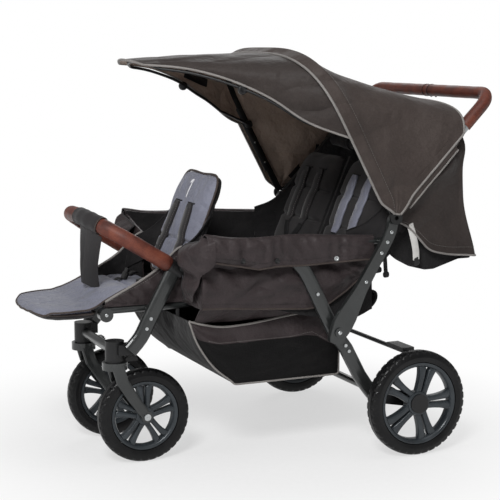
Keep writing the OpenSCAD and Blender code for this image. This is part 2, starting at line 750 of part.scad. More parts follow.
module wheel_bracket(s) color("#161616") on_axle() side_of(s) {
    inner = rear_leg_x + rear_leg_t / 2 + seat_fit;
    hub_face = rear_x - rear_hub_l / 2;
    plate(inner, bracket_t) hull() {
        translate([-rear_foot_ahead - rear_leg_w / 4, rear_foot_z + rear_leg_w / 3]) circle(d = bracket_d);
        translate([0, rear_axle_z]) circle(d = bracket_d);
    }
    rod(inner, hub_face - seat_fit, [0, rear_axle_z], 2 * stub_d);
    rod(inner, rear_x + rear_hub_l / 2 - seat_fit, [0, rear_axle_z], stub_d);
}
module brake_bar() color("#202122") on_axle() {
    tube_at = [-rear_tube_ahead, rear_tube_z];
    bar_at = [brake_bar_behind, brake_bar_z];
    arm_x = rear_leg_x - brake_arm_in;
    difference() {
        for (e = [-1, 1]) {
            plate(e * arm_x - brake_arm_t / 2, brake_arm_t) hull() {
                translate(tube_at) circle(d = brake_sleeve_d);
                translate(bar_at) circle(d = 1.6 * brake_bar_d);
            }
            rod(e * arm_x - brake_arm_t, e * arm_x + brake_arm_t, tube_at, brake_sleeve_d);
        }
        rod(-rear_leg_x, rear_leg_x, tube_at, rear_tube_d + 2 * run_fit);
    }
    rod(-arm_x, arm_x, bar_at, brake_bar_d);
    translate([pedal_x - pedal_l / 2, bar_at[0] - pedal_w / 3, bar_at[1] + brake_bar_d / 3])
        cube([pedal_l, pedal_w, pedal_t]);
}

// Seat frame and top rails
module seat_frame() color("#2c2e2f") on_axle() {
    half = rear_leg_x - rear_leg_t / 2 - seat_fit;
    leg_face = front_leg_x - front_leg_t / 2 - seat_fit;
    rail_in = seat_rail_x - seat_rail_d / 2;
    rod(-half, half, seat_tube_at, seat_tube_d);
    for (e = [-1, 1]) side_of(e) {
        translate([seat_rail_x, -leg_hinge_ahead, seat_rail_z]) rotate([-90, 0, 0])
            cylinder(h = leg_hinge_ahead + seat_tube_at[0], d = seat_rail_d);
        rod(rail_in, rail_in + leg_disc_t, leg_hinge, leg_disc_d);
        rod(rail_in - leg_disc_t, seat_rail_x, leg_hinge, leg_pin_d);
        rod(seat_rail_x, leg_face, [rail_bolt[0], seat_rail_z], seat_rail_d);
    }
}
// A top rail's front bend, as shares of its reach sideways, back and up
top_rail_bend_shares = [
    [0, 0, 0], [0.25, 0.02, 0.3], [0.6, -0.02, 0.8], [0.88, 0, 0.98], [1, 0.3, 1], [1, 1, 1]
];
top_rail_run = front_leg_w * 2.2;
top_rail_start_share = 0.86;
module top_rail(s) color("#2c2e2f") on_axle() side_of(s) {
    from = in_side(bumper_end - bumper_dir * socket_l * top_rail_start_share, front_leg_x);
    reach = [rear_leg_x - front_leg_x, top_rail_run, top_rail_z - from[2]];
    line = smooth([
        for (q = top_rail_bend_shares) from + [q[0] * reach[0], q[1] * reach[1], q[2] * reach[2]]
    ], 2);
    bend = from + reach;
    end = [rear_leg_x, -top_rail_end_ahead, top_rail_z];
    difference() {
        sweep(concat(line, [lerp(bend, end, 0.5), end]), top_rail_d, top_rail_d, 12, [0, 0, 1]);
        socket_cut();
    }
    rod(rear_leg_x, plate_x - seat_fit, [-top_rail_end_ahead - top_rail_d / 2, top_rail_z], top_rail_d);
}

// Bumper bar
module bumper_bar() color("#7a4535") on_axle() along_bumper() {
    half = front_leg_x;
    straight = bumper_reach * bumper_straight_share;
    arc = [
        for (k = [0 : bumper_rings]) let (a = 180 * k / bumper_rings)
            [half * soft_pow(cos(a), bumper_round_share), 0,
             straight + (bumper_reach - straight) * soft_pow(sin(a), bumper_round_share)]
    ];
    difference() {
        sweep(concat([[half, 0, seat_fit]], arc, [[-half, 0, seat_fit]]), bumper_d, bumper_d, 14, [0, 1, 0]);
        for (e = [LEFT, RIGHT]) translate([e * half, 0, -cut])
            cylinder(h = pin_in + 2 * cut, d = bumper_pin_d + 2 * run_fit);
    }
}
// The pins that carry the bumper bar in its sockets
module bumper_pins() color("#a9acad") on_axle() along_bumper() for (e = [LEFT, RIGHT])
    translate([e * front_leg_x, 0, -socket_l * pin_share])
        cylinder(h = socket_l * pin_share + pin_in, d = bumper_pin_d);
module at_socket(s) on_axle() side_of(s) translate([front_leg_x, 0, 0]) along_bumper()
    translate([0, 0, -socket_l]) children();
button_depth = (socket_d - bumper_pin_d) / 2 * 0.8;
button_at_share = 0.72;
module bumper_sockets() color("#191a1a") for (e = [LEFT, RIGHT]) at_socket(e) difference() {
    cylinder(h = socket_l, d = socket_d);
    cylinder(h = 3 * socket_l, d = bumper_pin_d + 2 * run_fit, center = true);
    translate([socket_d / 2 - button_depth, 0, socket_l * button_at_share]) rotate([0, 90, 0])
        cylinder(h = socket_d, d = button_d + 2 * button_fit);
}
module bumper_button(s) color("#101010") at_socket(s)
    translate([socket_d / 2 - button_depth * button_share, 0, socket_l * button_at_share])
        rotate([0, 90, 0]) cylinder(h = button_depth * button_share + button_out, d = button_d);

// Handle
plate_low_share = 1.45;
module handle_plate(s) color("#484c4c") on_axle() side_of(s) {
    toe = fold_pivot + [-plate_w / 4, plate_w / 2];
    neck = fold_pivot + (hood_pivot - fold_pivot) * 0.4;
    difference() {
        plate(plate_x, plate_t) {
            hull() {
                translate(fold_pivot) circle(d = plate_w);
                translate(toe) circle(d = plate_w * plate_low_share);
                translate(neck) circle(d = plate_w);
            }
            hull() {
                translate(neck) circle(d = plate_w);
                translate(hood_pivot) circle(d = plate_w);
            }
        }
        rod(plate_x - cut, plate_x + plate_t + cut, fold_pivot, fold_pin_d + 2 * run_fit);
    }
    rod(plate_x + plate_t / 2, knob_x + hood_knob_t * 0.8, hood_pivot, hood_pin_d);
}
module handle_sleeve(s) color("#2c2e2f") on_axle() along_handle() side_of(s) translate([sleeve_x, 0, 0])
    difference() {
        union() {
            translate([0, 0, sleeve_from]) cylinder(h = sleeve_l, d = sleeve_d);
            translate([0, 0, sleeve_top - collar_l]) cylinder(h = collar_l, d = sleeve_collar_d);
        }
        translate([0, 0, sleeve_from - cut])
            cylinder(h = sleeve_l + 2 * cut, d = handle_tube_d + 2 * run_fit);
        translate([pocket_depth - sleeve_collar_d / 2, 0, sleeve_top - collar_l / 2]) rotate([0, -90, 0])
            cylinder(h = sleeve_collar_d, d = handle_button_d + 2 * button_fit);
    }
handle_button_d = collar_l * 0.36;
cap_share = 0.42;
module handle_button(s) color("#101010") on_axle() along_handle() side_of(s)
    translate([sleeve_x - sleeve_collar_d / 2 + pocket_depth * cap_share, 0, sleeve_top - collar_l / 2])
        rotate([0, -90, 0]) cylinder(h = pocket_depth, d = handle_button_d);
// The handle's path as a solid: two arms, two bends and a crossbar
module handle_loop(d, from) {
    corner = sleeve_x - handle_bend_r;
    for (e = [LEFT, RIGHT]) side_of(e) {
        translate([sleeve_x, 0, from]) cylinder(h = handle_l - handle_bend_r - from, d = d);
        translate([corner, 0, handle_l - handle_bend_r]) rotate([90, 0, 0])
            rotate_extrude(angle = 90) translate([handle_bend_r, 0]) circle(d = d);
    }
    rod(-corner, corner, [0, handle_l], d);
}
module handle_tube() color("#a9acad") on_axle() along_handle() {
    collar_h = grip_d / 2;
    handle_loop(handle_tube_d, sleeve_from + sleeve_d);
    for (e = [LEFT, RIGHT]) side_of(e) translate([sleeve_x, 0, grip_from - collar_h - seat_fit])
        cylinder(h = collar_h, d = (handle_tube_d + grip_d) / 2);
}
module handle_grip() color("#7a4535") on_axle() along_handle() difference() {
    handle_loop(grip_d, grip_from);
    handle_loop(handle_tube_d + 2 * cover_fit, grip_from - cut);
}

// Hood
bow_normal = [0, cos(bow_lean), sin(bow_lean)];
function on_bow(q, behind) = [q[0], 0, 0] + in_side(bow_point(q[1]), 0) + behind * bow_normal;
module hood_knobs() color("#161616") on_axle() for (e = [LEFT, RIGHT]) side_of(e) difference() {
    rod(knob_x, knob_x + hood_knob_t, hood_pivot, hood_knob_d);
    rod(knob_x - cut, knob_x + hood_knob_t + cut, hood_pivot, hood_pin_d + 2 * run_fit);
}
module hood_bow() color("#161616") on_axle() {
    leg_foot = hood_pin_d;
    sweep([
        for (k = [0 : bow_rings]) let (s = 2 * k / bow_rings - 1)
            on_bow(arch_point(s, bow_x, leg_foot, bow_leg_h, bow_h), 0)
    ], bow_t, bow_w, 8, bow_normal, 0.6);
    for (e = [LEFT, RIGHT]) side_of(e) {
        difference() {
            rod(bow_x - bow_t / 2, bow_x + bow_t / 2, hood_pivot, 2.4 * hood_pin_d);
            rod(bow_x - bow_t, bow_x + bow_t, hood_pivot, hood_pin_d + 2 * run_fit);
        }
        rod(visor_eye_x, bow_x, visor_hinge, visor_bow_d);
    }
}
visor_eye_x = bow_x - bow_t / 2 - 1.9 * visor_bow_d;
function hood_front(s) = on_bow(
    arch_point(s, bow_x + bow_t / 2, bow_h * hood_foot_share, bow_leg_h, bow_h + bow_t / 2),
    hood_clear + hood_t * sin(bow_lean)
);
function hood_rear(s) = let (
    q = arch_point(s, (sleeve_x + sleeve_collar_d / 2 + bow_x) / 2, bow_h * hood_foot_share, hood_rear_leg,
        hood_rear_leg + hood_rear_rise),
    leg = handle_point(min(q[1], hood_rear_leg))
) [q[0], leg[0], leg[1] + max(q[1] - hood_rear_leg, 0)];
function hood_sheet(s, t) = let (p = lerp(hood_front(s), hood_rear(s), t))
    p - out_of_hood(p) * bow_h * hood_sag_share * sin(180 * pow(t, hood_sag_power));
function out_of_hood(p) = unit([p[0], 0, max(p[2] - hood_pivot_z - bow_h * hood_core_share, 0)]);
module hood_panel() color("#474240") on_axle() {
    outer = [for (i = [0 : hood_rows]) [
        for (j = [0 : hood_cols]) hood_sheet(2 * j / hood_cols - 1, i / hood_rows)
    ]];
    slab(outer, [for (r = outer) [for (p = r) p - hood_t * out_of_hood(p)]]);
}
function visor_front(s) = [
    s * visor_nose_w / 2, visor_tip_round_share * visor_nose_w * s * s - visor_tip_ahead,
    visor_tip_z - visor_tip_round_share * visor_nose_w / 2 * s * s
];
visor_tip_round_share = 0.13;
function visor_rear(s) = on_bow(
    arch_point(s * visor_span_share, bow_x - bow_t, bow_h * hood_foot_share, bow_leg_h, bow_h), -hood_clear
);
function visor_sheet(s, t) = lerp(visor_front(s), visor_rear(s), t)
    + [0, 0, visor_tip_z * visor_bulge_share / 2 * sin(180 * t) * lerp(visor_crest_share, 1, s * s)];
// Which way the visor's fabric faces: upwards in front, outwards at the bow's sides
function out_of_visor(s, t) = unit([2 * s * t, 0, 1]);
module visor_panel() color("#474240") on_axle() {
    grid = [for (i = [0 : hood_rows]) [for (j = [0 : hood_cols]) [2 * j / hood_cols - 1, i / hood_rows]]];
    slab(
        [for (r = grid) [for (q = r) visor_sheet(q[0], q[1])]],
        [for (r = grid) [for (q = r) visor_sheet(q[0], q[1]) - hood_t * out_of_visor(q[0], q[1])]]
    );
}
visor_bow_in_share = 0.955;
function under_visor(s, t) = let (p = visor_sheet(s, t))
    [p[0] * visor_bow_in_share, p[1] + visor_bow_d, p[2] - hood_t - 1.2 * visor_bow_d];
module visor_bow() color("#161616") on_axle() {
    steps = 8;
    eye_d = 2.2 * visor_bow_d;
    eye_at = in_side(visor_hinge, visor_eye_x + visor_bow_d / 2);
    half = concat(
        [eye_at], [for (k = [1 : steps - 1]) lerp(eye_at, under_visor(1, 0), k / steps)
            + [0, 0, visor_tip_z * visor_bulge_share / 4 * sin(180 * k / steps)]],
        [for (k = [0 : steps / 2 - 1]) under_visor(1 - 2 * k / steps, 0)]
    );
    path = concat(half, [under_visor(0, 0)],
        [for (k = [len(half) - 1 : -1 : 0]) [-half[k][0], half[k][1], half[k][2]]]);
    difference() {
        union() {
            sweep(path, visor_bow_d, visor_bow_d, 8, [0, 0, 1]);
            for (e = [LEFT, RIGHT]) side_of(e)
                rod(visor_eye_x, bow_x - bow_t / 2 - seat_fit, visor_hinge, eye_d);
        }
        for (e = [LEFT, RIGHT]) side_of(e)
            rod(visor_eye_x - eye_d, bow_x, visor_hinge, visor_bow_d + 2 * run_fit);
    }
}

// Drape: a curtain that hangs from the handle's sleeves and the hood's rear edge
drape_top_shares = [
    [1, 0.2], [1, 0.5], [1, 0.78], [0.955, 0.9], [0.925, 0.97], [0.9, 1.02], [0.55, 1.12], [0, 1.15]
];
drape_low_shares = [
    [1, 0.08], [1, 0.22], [0.985, 0.42], [0.97, 0.6], [0.95, 0.85], [0.93, 0.99], [0.55, 1], [0, 1]
];
drape_low_z_shares = [0.88, 0.72, 0.28, 0.13, 0.06, 0.03, 0, 0];
drape_top_z_shares = [0.2, 0.5, 0.78, 0.84, 0.98, 1.1, 1.27, 1.29];
drape_hang = sleeve_collar_d / 2 + hood_t / 2 + seat_fit;
drape_x = sleeve_x + handle_tube_d / 8;
drape_t = hood_t;
function pick(list, t) = let (n = len(list) - 1, i = min(floor(t * n), n - 1)) spline_at(list, i, t * n - i);
function drape_top(a) = let (
    q = pick(drape_top_shares, 1 - a), z = pick(drape_top_z_shares, 1 - a),
    y = handle_point(hood_rear_leg * min(q[1], 1)), h = handle_point(hood_rear_leg * z)
) [drape_x * q[0], min(y[0], -hood_pivot_ahead + hood_rear_leg * sin(handle_lean))
    + drape_hang * cos(handle_lean), h[1] - drape_hang * sin(handle_lean)];
function drape_low(a) = let (q = pick(drape_low_shares, 1 - a), z = pick(drape_low_z_shares, 1 - a))
    [drape_x * q[0], lerp(-hood_pivot_ahead, drape_behind, q[1]), lerp(drape_bottom_z, hood_pivot_z, z)];
function drape_point(s, t) = let (
    a = abs(s), top = drape_top(a), low = drape_low(a), p = lerp(top, low, t),
    fold = drape_fold_h * t * sin(360 * drape_folds * s / 2) * (1 - a)
) [(s < 0 ? -1 : 1) * p[0], p[1] + fold, p[2]];
function out_of_drape(p) = unit([p[0] * 0.6, max(p[1], 0) + hood_pivot_ahead, 0]);
module rear_drape() color("#474240") on_axle() {
    outer = [for (i = [0 : drape_rows]) [
        for (j = [0 : drape_cols]) drape_point(2 * j / drape_cols - 1, i / drape_rows)
    ]];
    slab(outer, [for (r = outer) [for (p = r) p - drape_t * out_of_drape(p)]]);
}

// Tub
function rim_z(a) = tub_top_z + rim_rise * pick(rim_rise_shares, a);
module tub_shell() color("#474240") on_axle() {
    bench_z = tub_floor_z + bench_rise;
    rear_z = tub_floor_z + (tub_top_z - tub_floor_z) * wall_rise_share;
    shelf = rear_hinge_ahead + rear_back_t;
    front_half = front_seat_w / 2 + seat_fit;
    inner = tub_x - tub_t;
    for (e = [LEFT, RIGHT]) side_of(e) difference() {
        plate(inner, tub_t) polygon([
            [-tub_front_ahead, tub_floor_z], [-bench_front_ahead, tub_floor_z], [-tub_rear_ahead, rear_z],
            for (k = [8 : -1 : 0]) [lerp(-tub_front_ahead, -tub_rear_ahead, k / 8), rim_z(k / 8)]
        ]);
        rod(inner - cut, tub_x + cut, [-rear_hinge_ahead, rear_hinge_z], rear_pin_d + 2 * run_fit);
    }
    for (e = [LEFT, RIGHT]) side_of(e) {
        translate([0, tub_t - tub_front_ahead, 0]) rotate([90, 0, 0]) linear_extrude(tub_t) polygon([
            [front_half, tub_floor_z], [inner, tub_floor_z],
            [inner, rim_z(0) - rim_rise * 0.4], [front_half, rim_z(0) - rim_rise * 1.8]
        ]);
        translate([front_half, -tub_front_ahead, tub_floor_z])
            cube([inner - front_half, tub_front_ahead - front_seat_rear_ahead + tub_t, tub_t]);
    }
    plate(-inner, 2 * inner) polygon([
        [seat_fit - front_seat_rear_ahead, tub_floor_z], [-bench_front_ahead, tub_floor_z],
        [tub_t - bench_front_ahead, bench_z], [-shelf, bench_z], [-shelf, bench_z + tub_t],
        [-bench_front_ahead, bench_z + tub_t], [-bench_front_ahead - tub_t, tub_floor_z + tub_t],
        [seat_fit - front_seat_rear_ahead, tub_floor_z + tub_t]
    ]);
}
// A side flap hooks over its top rail and hangs down outside, with soft folds in its lower half
flap_side_shares = [
    [0, 0.2], [0, 0.72], [0.1, 0.93], [0.4, 1], [0.75, 0.99],
    [0.95, 0.9], [1, 0.7], [1, 0.45], [1, 0.2], [0.97, 0]
];
flap_rise_share = 0.15;
flap_in_share = 0.25;
module tub_flap(s) {
    in_x = tub_x + seat_fit;
    function bulge(a) = flap_fold_h * (0.5 + 0.5 * sin(360 * 2.5 * a)) * sin(180 * a);
    function section(a, thin) = [
        for (q = flap_side_shares)
            let (hang = max(1 - 2 * q[1], 0) * (q[0] > 0.5 ? 1 : 0), x = lerp(in_x, flap_out_x, q[0]))
                [x + thin * (0.5 - q[0]) * 2 - hang * bulge(a) * flap_in_share,
                 lerp(-tub_front_ahead, -tub_rear_ahead, a),
                 lerp(flap_bottom_z + rim_rise * pow(1 - a, 6), rim_z(a) + flap_t + seat_fit, q[1])
                    - thin * (q[1] > 0.95 ? 1 : 0) + hang * bulge(a) * flap_rise_share]
    ];
    color("#474240") on_axle() side_of(s) slab(
        [for (i = [0 : flap_rows]) section(i / flap_rows, 0)],
        [for (i = [0 : flap_rows]) section(i / flap_rows, flap_t)]
    );
}

// Front seat
wing_shares = [[0, 0.08], [0.4, 0.36], [0.66, 0.58], [0.86, 0.82], [1, 1]];
front_hinge = [-front_hinge_ahead, front_hinge_z];
module front_seat_shell() color("#474240") on_axle() {
    half = front_seat_w / 2;
    front_y = -leg_hinge_ahead;
    rear_y = -front_seat_rear_ahead;
    for (e = [LEFT, RIGHT]) side_of(e) difference() {
        plate(half - front_seat_t, front_seat_t) polygon(concat(
            [for (q = wing_shares) [lerp(front_y, rear_y, q[0]), lerp(tub_floor_z, front_wing_z, q[1])]],
            [[rear_y, tub_floor_z], [front_y, tub_floor_z]]
        ));
        rod(half - 2 * front_seat_t, half + cut, front_hinge, front_pin_d + 2 * run_fit);
    }
    translate([front_seat_t - half, front_y, tub_floor_z])
        cube([2 * (half - front_seat_t), rear_y - front_y, front_seat_t]);
}
module front_seat_back() color("#7f7f8c") on_axle() translate([0, -front_hinge_ahead, front_hinge_z]) {
    start = front_pin_d * 0.8;
    rod(-front_seat_w / 2, front_seat_w / 2, [0, 0], front_pin_d);
    rotate([90 - front_back_lean, 0, 0]) translate([0, start, -front_back_t / 2])
        pad(front_back_w, front_back_l - start, front_back_t, [-0.28, 0.2], [], 0.14);
    rotate([90 - front_back_lean, 0, 0]) translate([-front_back_w / 3, 0, -front_pin_d / 2])
        cube([front_back_w * 2 / 3, 3 * start, front_pin_d]);
}
module front_seat_cushion() color("#7f7f8c") on_axle()
    translate([0, cushion_gap + front_cushion_l - leg_hinge_ahead, tub_floor_z + front_seat_t + seat_fit])
        rotate(180)
        pad(front_seat_w - 2 * front_seat_t - cushion_gap, front_cushion_l, front_cushion_t, [0.1], []);
module rear_seat_back(s) color("#2a2829") on_axle() side_of(s)
    translate([tub_x - tub_t, -rear_hinge_ahead, rear_hinge_z]) {
        start = rear_pin_d * 0.8;
        middle = -seat_fit * 10 - rear_back_w / 2;
        rod(middle, tub_t, [0, 0], rear_pin_d);
        rotate([90 - rear_back_lean, 0, 0]) translate([middle, start, -rear_back_t / 2])
            pad(rear_back_w, rear_back_l - start, rear_back_t, [-0.3, 0.25], [], 0.08);
        rotate([90 - rear_back_lean, 0, 0]) translate([middle - rear_back_w * 0.35, 0, -rear_pin_d * 0.44])
            cube([rear_back_w * 0.7, 2.7 * start, rear_pin_d * 0.8]);
    }
module rear_seat_cushion() color("#2a2829") on_axle()
    translate([0, -bench_front_ahead, tub_floor_z + bench_rise + tub_t + seat_fit])
        pad(tub_w - 2 * tub_t - cushion_gap, rear_cushion_l, rear_cushion_t, [0.1], [0], 0, 16, 10);
module leg_rest() color("#7f7f8c") on_axle() {
    lug_d = 2.4 * leg_pin_d;
    lug_x = seat_rail_x - seat_rail_d / 2 - leg_disc_t * 0.85;
    lug_t = leg_disc_t * 0.6;
    gap = leg_disc_d / 2 + cushion_gap;
    under = leg_hinge[1] - leg_rest_t * 0.35;
    for (e = [LEFT, RIGHT]) side_of(e) difference() {
        plate(lug_x, lug_t) hull() {
            translate(leg_hinge) circle(d = lug_d);
            translate(leg_hinge - [gap + lug_d, lug_d / 6]) circle(d = lug_d / 2);
        }
        rod(lug_x - cut, lug_x + lug_t + cut, leg_hinge, leg_pin_d + 2 * run_fit);
    }
    translate([0, -leg_hinge_ahead - gap, under]) rotate(180)
        pad(leg_rest_w, leg_tip_ahead - leg_hinge_ahead - gap, leg_rest_t, [-0.5], [], 0.1);
}

// Basket: an open bag that hangs from the seat frame
hem_dip_share = 0.12;
module basket() color("#35302f") on_axle() {
    half = basket_w / 2;
    back_z = lerp(basket_floor_z, basket_hem_z, 0.62);
    rail_under = seat_rail_z - seat_rail_d / 2 - seat_fit;
    tube_under = seat_tube_at[1] - seat_tube_d / 2 - seat_fit;
    outline = [
        [-basket_front_ahead, basket_hem_z], [-basket_floor_ahead, basket_floor_z],
        [-basket_rear_ahead, basket_floor_z], [-basket_rear_ahead, back_z], [seat_tube_at[0], basket_hem_z],
        [lerp(-basket_front_ahead, seat_tube_at[0], 0.55), lerp(basket_hem_z, basket_floor_z, hem_dip_share)]
    ];
    difference() {
        plate(-half, basket_w) polygon(outline);
        plate(basket_t - half, basket_w - 2 * basket_t) polygon([
            [1.5 * basket_t - basket_front_ahead, basket_hem_z + cut],
            [basket_t - basket_floor_ahead, basket_floor_z + basket_t],
            [-basket_rear_ahead - basket_t, basket_floor_z + basket_t],
            [-basket_rear_ahead - basket_t, basket_hem_z + cut]
        ]);
    }
    for (e = [LEFT, RIGHT]) side_of(e) {
        translate([seat_rail_x - hanger_w / 2, -basket_front_ahead, basket_hem_z - hanger_w])
            cube([hanger_w, 3 * basket_t, rail_under - basket_hem_z + hanger_w]);
        translate([half - basket_t, seat_tube_at[0] - hanger_w, basket_hem_z - hanger_w])
            cube([basket_t, hanger_w, tube_under - basket_hem_z + hanger_w]);
    }
}

// Bolt heads on the outer faces of the legs and the handle plates
front_bolt_shares = [[0.36, 0.29], [0.46, 0.42]];
rear_bolt_shares = [[0.36, 0.35], [0.4, 0.39], [0.73, 0.751]];
module frame_bolts() color("#c4c7c8") on_axle() for (e = [LEFT, RIGHT]) side_of(e) {
    for (q = front_bolt_shares) let (x = front_leg_x + front_leg_t / 2 + seat_fit)
        rod(x, x + bolt_h, place(front_foot, front_top, q), bolt_d);
    for (q = rear_bolt_shares) let (x = rear_leg_x + rear_leg_t / 2 + seat_fit)
        rod(x, x + bolt_h, place(rear_foot, rear_top, q), bolt_d);
}

rear_tyre(LEFT);  // rear_tyre_left
rear_tyre(RIGHT);  // rear_tyre_right
rear_rim(LEFT);  // rear_rim_left
rear_rim(RIGHT);  // rear_rim_right
rear_hub_cap(LEFT);  // rear_hub_cap_left
rear_hub_cap(RIGHT);  // rear_hub_cap_right
front_tyre(LEFT);  // front_tyre_left
front_tyre(RIGHT);  // front_tyre_right
front_rim(LEFT);  // front_rim_left
front_rim(RIGHT);  // front_rim_right
front_axle(LEFT);  // front_axle_left
front_axle(RIGHT);  // front_axle_right
caster_fork(LEFT);  // caster_fork_left
caster_fork(RIGHT);  // caster_fork_right
caster_housing(LEFT);  // caster_housing_left
caster_housing(RIGHT);  // caster_housing_right
swivel_lock(LEFT);  // swivel_lock_left
swivel_lock(RIGHT);  // swivel_lock_right
front_cross_tube();
front_leg(LEFT);  // front_leg_left
front_leg(RIGHT);  // front_leg_right
rear_leg(LEFT);  // rear_leg_left
rear_leg(RIGHT);  // rear_leg_right
rear_cross_tube();
wheel_bracket(LEFT);  // wheel_bracket_left
wheel_bracket(RIGHT);  // wheel_bracket_right
brake_bar();
seat_frame();
top_rail(LEFT);  // top_rail_left
top_rail(RIGHT);  // top_rail_right
handle_plate(LEFT);  // handle_plate_left
handle_plate(RIGHT);  // handle_plate_right
handle_sleeve(LEFT);  // handle_sleeve_left
handle_sleeve(RIGHT);  // handle_sleeve_right
handle_tube();
handle_grip();
handle_button(LEFT);  // handle_button_left
handle_button(RIGHT);  // handle_button_right
hood_knobs();
hood_bow();
visor_bow();
hood_panel();
visor_panel();
rear_drape();
tub_shell();
tub_flap(LEFT);  // tub_flap_left
tub_flap(RIGHT);  // tub_flap_right
front_seat_shell();
front_seat_back();
front_seat_cushion();
rear_seat_back(LEFT);  // rear_seat_back_left
rear_seat_back(RIGHT);  // rear_seat_back_right
rear_seat_cushion();
leg_rest();
bumper_bar();
bumper_pins();
bumper_sockets();
bumper_button(LEFT);  // bumper_button_left
bumper_button(RIGHT);  // bumper_button_right
basket();
frame_bolts();
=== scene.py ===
"""The triple stroller's looks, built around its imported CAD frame.

Shapes are given in millimetres, with Y measured from the rear axle as in the part's source, and become metres in
metres(). The stroller faces -Y, its left side is +X and +Z is up.
"""
import json
import math
from collections import namedtuple

import bpy
import numpy as np
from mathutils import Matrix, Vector
from mathutils.kdtree import KDTree


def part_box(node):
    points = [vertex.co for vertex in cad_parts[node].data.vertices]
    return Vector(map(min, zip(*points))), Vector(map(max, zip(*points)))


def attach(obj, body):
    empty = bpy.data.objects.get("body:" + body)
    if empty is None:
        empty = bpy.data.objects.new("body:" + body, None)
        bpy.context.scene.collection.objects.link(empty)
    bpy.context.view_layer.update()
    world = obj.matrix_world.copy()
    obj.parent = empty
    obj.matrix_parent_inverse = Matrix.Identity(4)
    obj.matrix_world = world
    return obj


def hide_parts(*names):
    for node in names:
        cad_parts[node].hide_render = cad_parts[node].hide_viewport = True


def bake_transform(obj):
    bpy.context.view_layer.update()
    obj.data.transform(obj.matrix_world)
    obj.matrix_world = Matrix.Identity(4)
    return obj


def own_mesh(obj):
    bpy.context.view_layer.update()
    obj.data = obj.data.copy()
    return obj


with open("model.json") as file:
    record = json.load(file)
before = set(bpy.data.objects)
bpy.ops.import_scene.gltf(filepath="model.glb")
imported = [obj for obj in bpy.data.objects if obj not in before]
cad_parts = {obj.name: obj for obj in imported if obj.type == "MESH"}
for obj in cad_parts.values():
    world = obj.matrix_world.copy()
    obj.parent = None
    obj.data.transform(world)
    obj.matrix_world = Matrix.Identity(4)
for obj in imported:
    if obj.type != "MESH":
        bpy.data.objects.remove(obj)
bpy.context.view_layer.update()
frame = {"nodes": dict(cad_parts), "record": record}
scene = bpy.context.scene
SIDES = ((1, "left"), (-1, "right"))
AXLE_Y = 500 * (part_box("rear_tyre_left")[0][1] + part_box("rear_tyre_left")[1][1])


# ---- small geometry ----
def metres(p):
    q = np.array(p, float)
    q[..., 1] += AXLE_Y
    return q / 1000


def spot(*p):
    return tuple(metres(p))


def unit(v):
    v = np.asarray(v, float)
    return v / np.maximum(np.linalg.norm(v, axis=-1, keepdims=True), 1e-9)


def mix(a, b, t):
    return a + (b - a) * t


def step(a, b, x):
    t = np.clip((np.asarray(x, float) - a) / (b - a), 0, 1)
    return t * t * (3 - 2 * t)


def bell(x, at, width):
    return np.exp(-(((x - at) / width) ** 2))


def hump(t):
    """A half wave: 0 where t is 0 or 1, and 1 midway."""
    return np.sin(np.pi * np.asarray(t, float))


def span(n):
    """n shares from 0 to 1."""
    return np.linspace(0, 1, n)


def column(n):
    """The same shares as a column, one for each row of a grid."""
    return span(n)[:, None]


def xyz(x, y, z):
    """Points from their coordinates, which may be single numbers, rows or columns."""
    return np.stack(np.broadcast_arrays(x, y, z), -1)


def even(path, n):
    """A path resampled at n places, evenly by its length."""
    path = np.asarray(path, float)
    run = np.concatenate([[0], np.cumsum(np.linalg.norm(np.diff(path, axis=0), axis=1))])
    at = np.linspace(0, run[-1], n)
    return np.stack([np.interp(at, run, path[:, k]) for k in range(path.shape[1])], 1)


def spline(a, b, c, d, t):
    """A smooth reading between b and c, with their neighbours a and d."""
    return (2 * b + (c - a) * t + (2 * a - 5 * b + 4 * c - d) * t**2 + (3 * b - a - 3 * c + d) * t**3) / 2


def curve(points, n):
    """A smooth curve through points, as n evenly spaced places."""
    p = np.asarray(points, float)
    p = np.vstack([2 * p[0] - p[1], p, 2 * p[-1] - p[-2]])
    t = np.linspace(0, 1, 24, endpoint=False)[:, None]
    out = [spline(a, b, c, d, t) for a, b, c, d in zip(p[:-3], p[1:-2], p[2:-1], p[3:])]
    return even(np.vstack(out + [p[-2:-1]]), n)


def table(values, t):
    """A smooth reading of a list of values, with t from 0 to 1."""
    v = np.asarray(values, float)
    n = len(v) - 1
    t = np.clip(np.asarray(t, float), 0, 1) * n
    i = np.minimum(t.astype(int), n - 1)
    return spline(v[np.maximum(i - 1, 0)], v[i], v[i + 1], v[np.minimum(i + 2, n)], t - i)


def eased(knots, values, places, n):
    """Values given at uneven knots, read first at some even places and from those smoothly at n."""
    return table(np.interp(np.linspace(knots[0], knots[-1], places), knots, values), span(n))


def smoothed(values, reach, mode="edge"):
    """Each value as the mean of its neighbours, up to reach places away."""
    wide = 2 * reach + 1
    return np.convolve(np.pad(values, reach, mode), np.ones(wide) / wide, "valid")


def waves(u, v, seed):
    """Soft, repeatable unevenness between about -1 and 1."""
    r = np.random.RandomState(seed)
    total = 0
    for _ in range(6):
        fu, fv, ph = r.uniform(1, 4), r.uniform(1, 4), r.uniform(0, 6.3)
        total = total + np.sin(2 * np.pi * (fu * u + fv * v) + ph)
    return total / 3.2


def nearest(points):
    """A search tree over points."""
    tree = KDTree(len(points))
    for i, p in enumerate(points):
        tree.insert(Vector(p), i)
    tree.balance()
    return tree


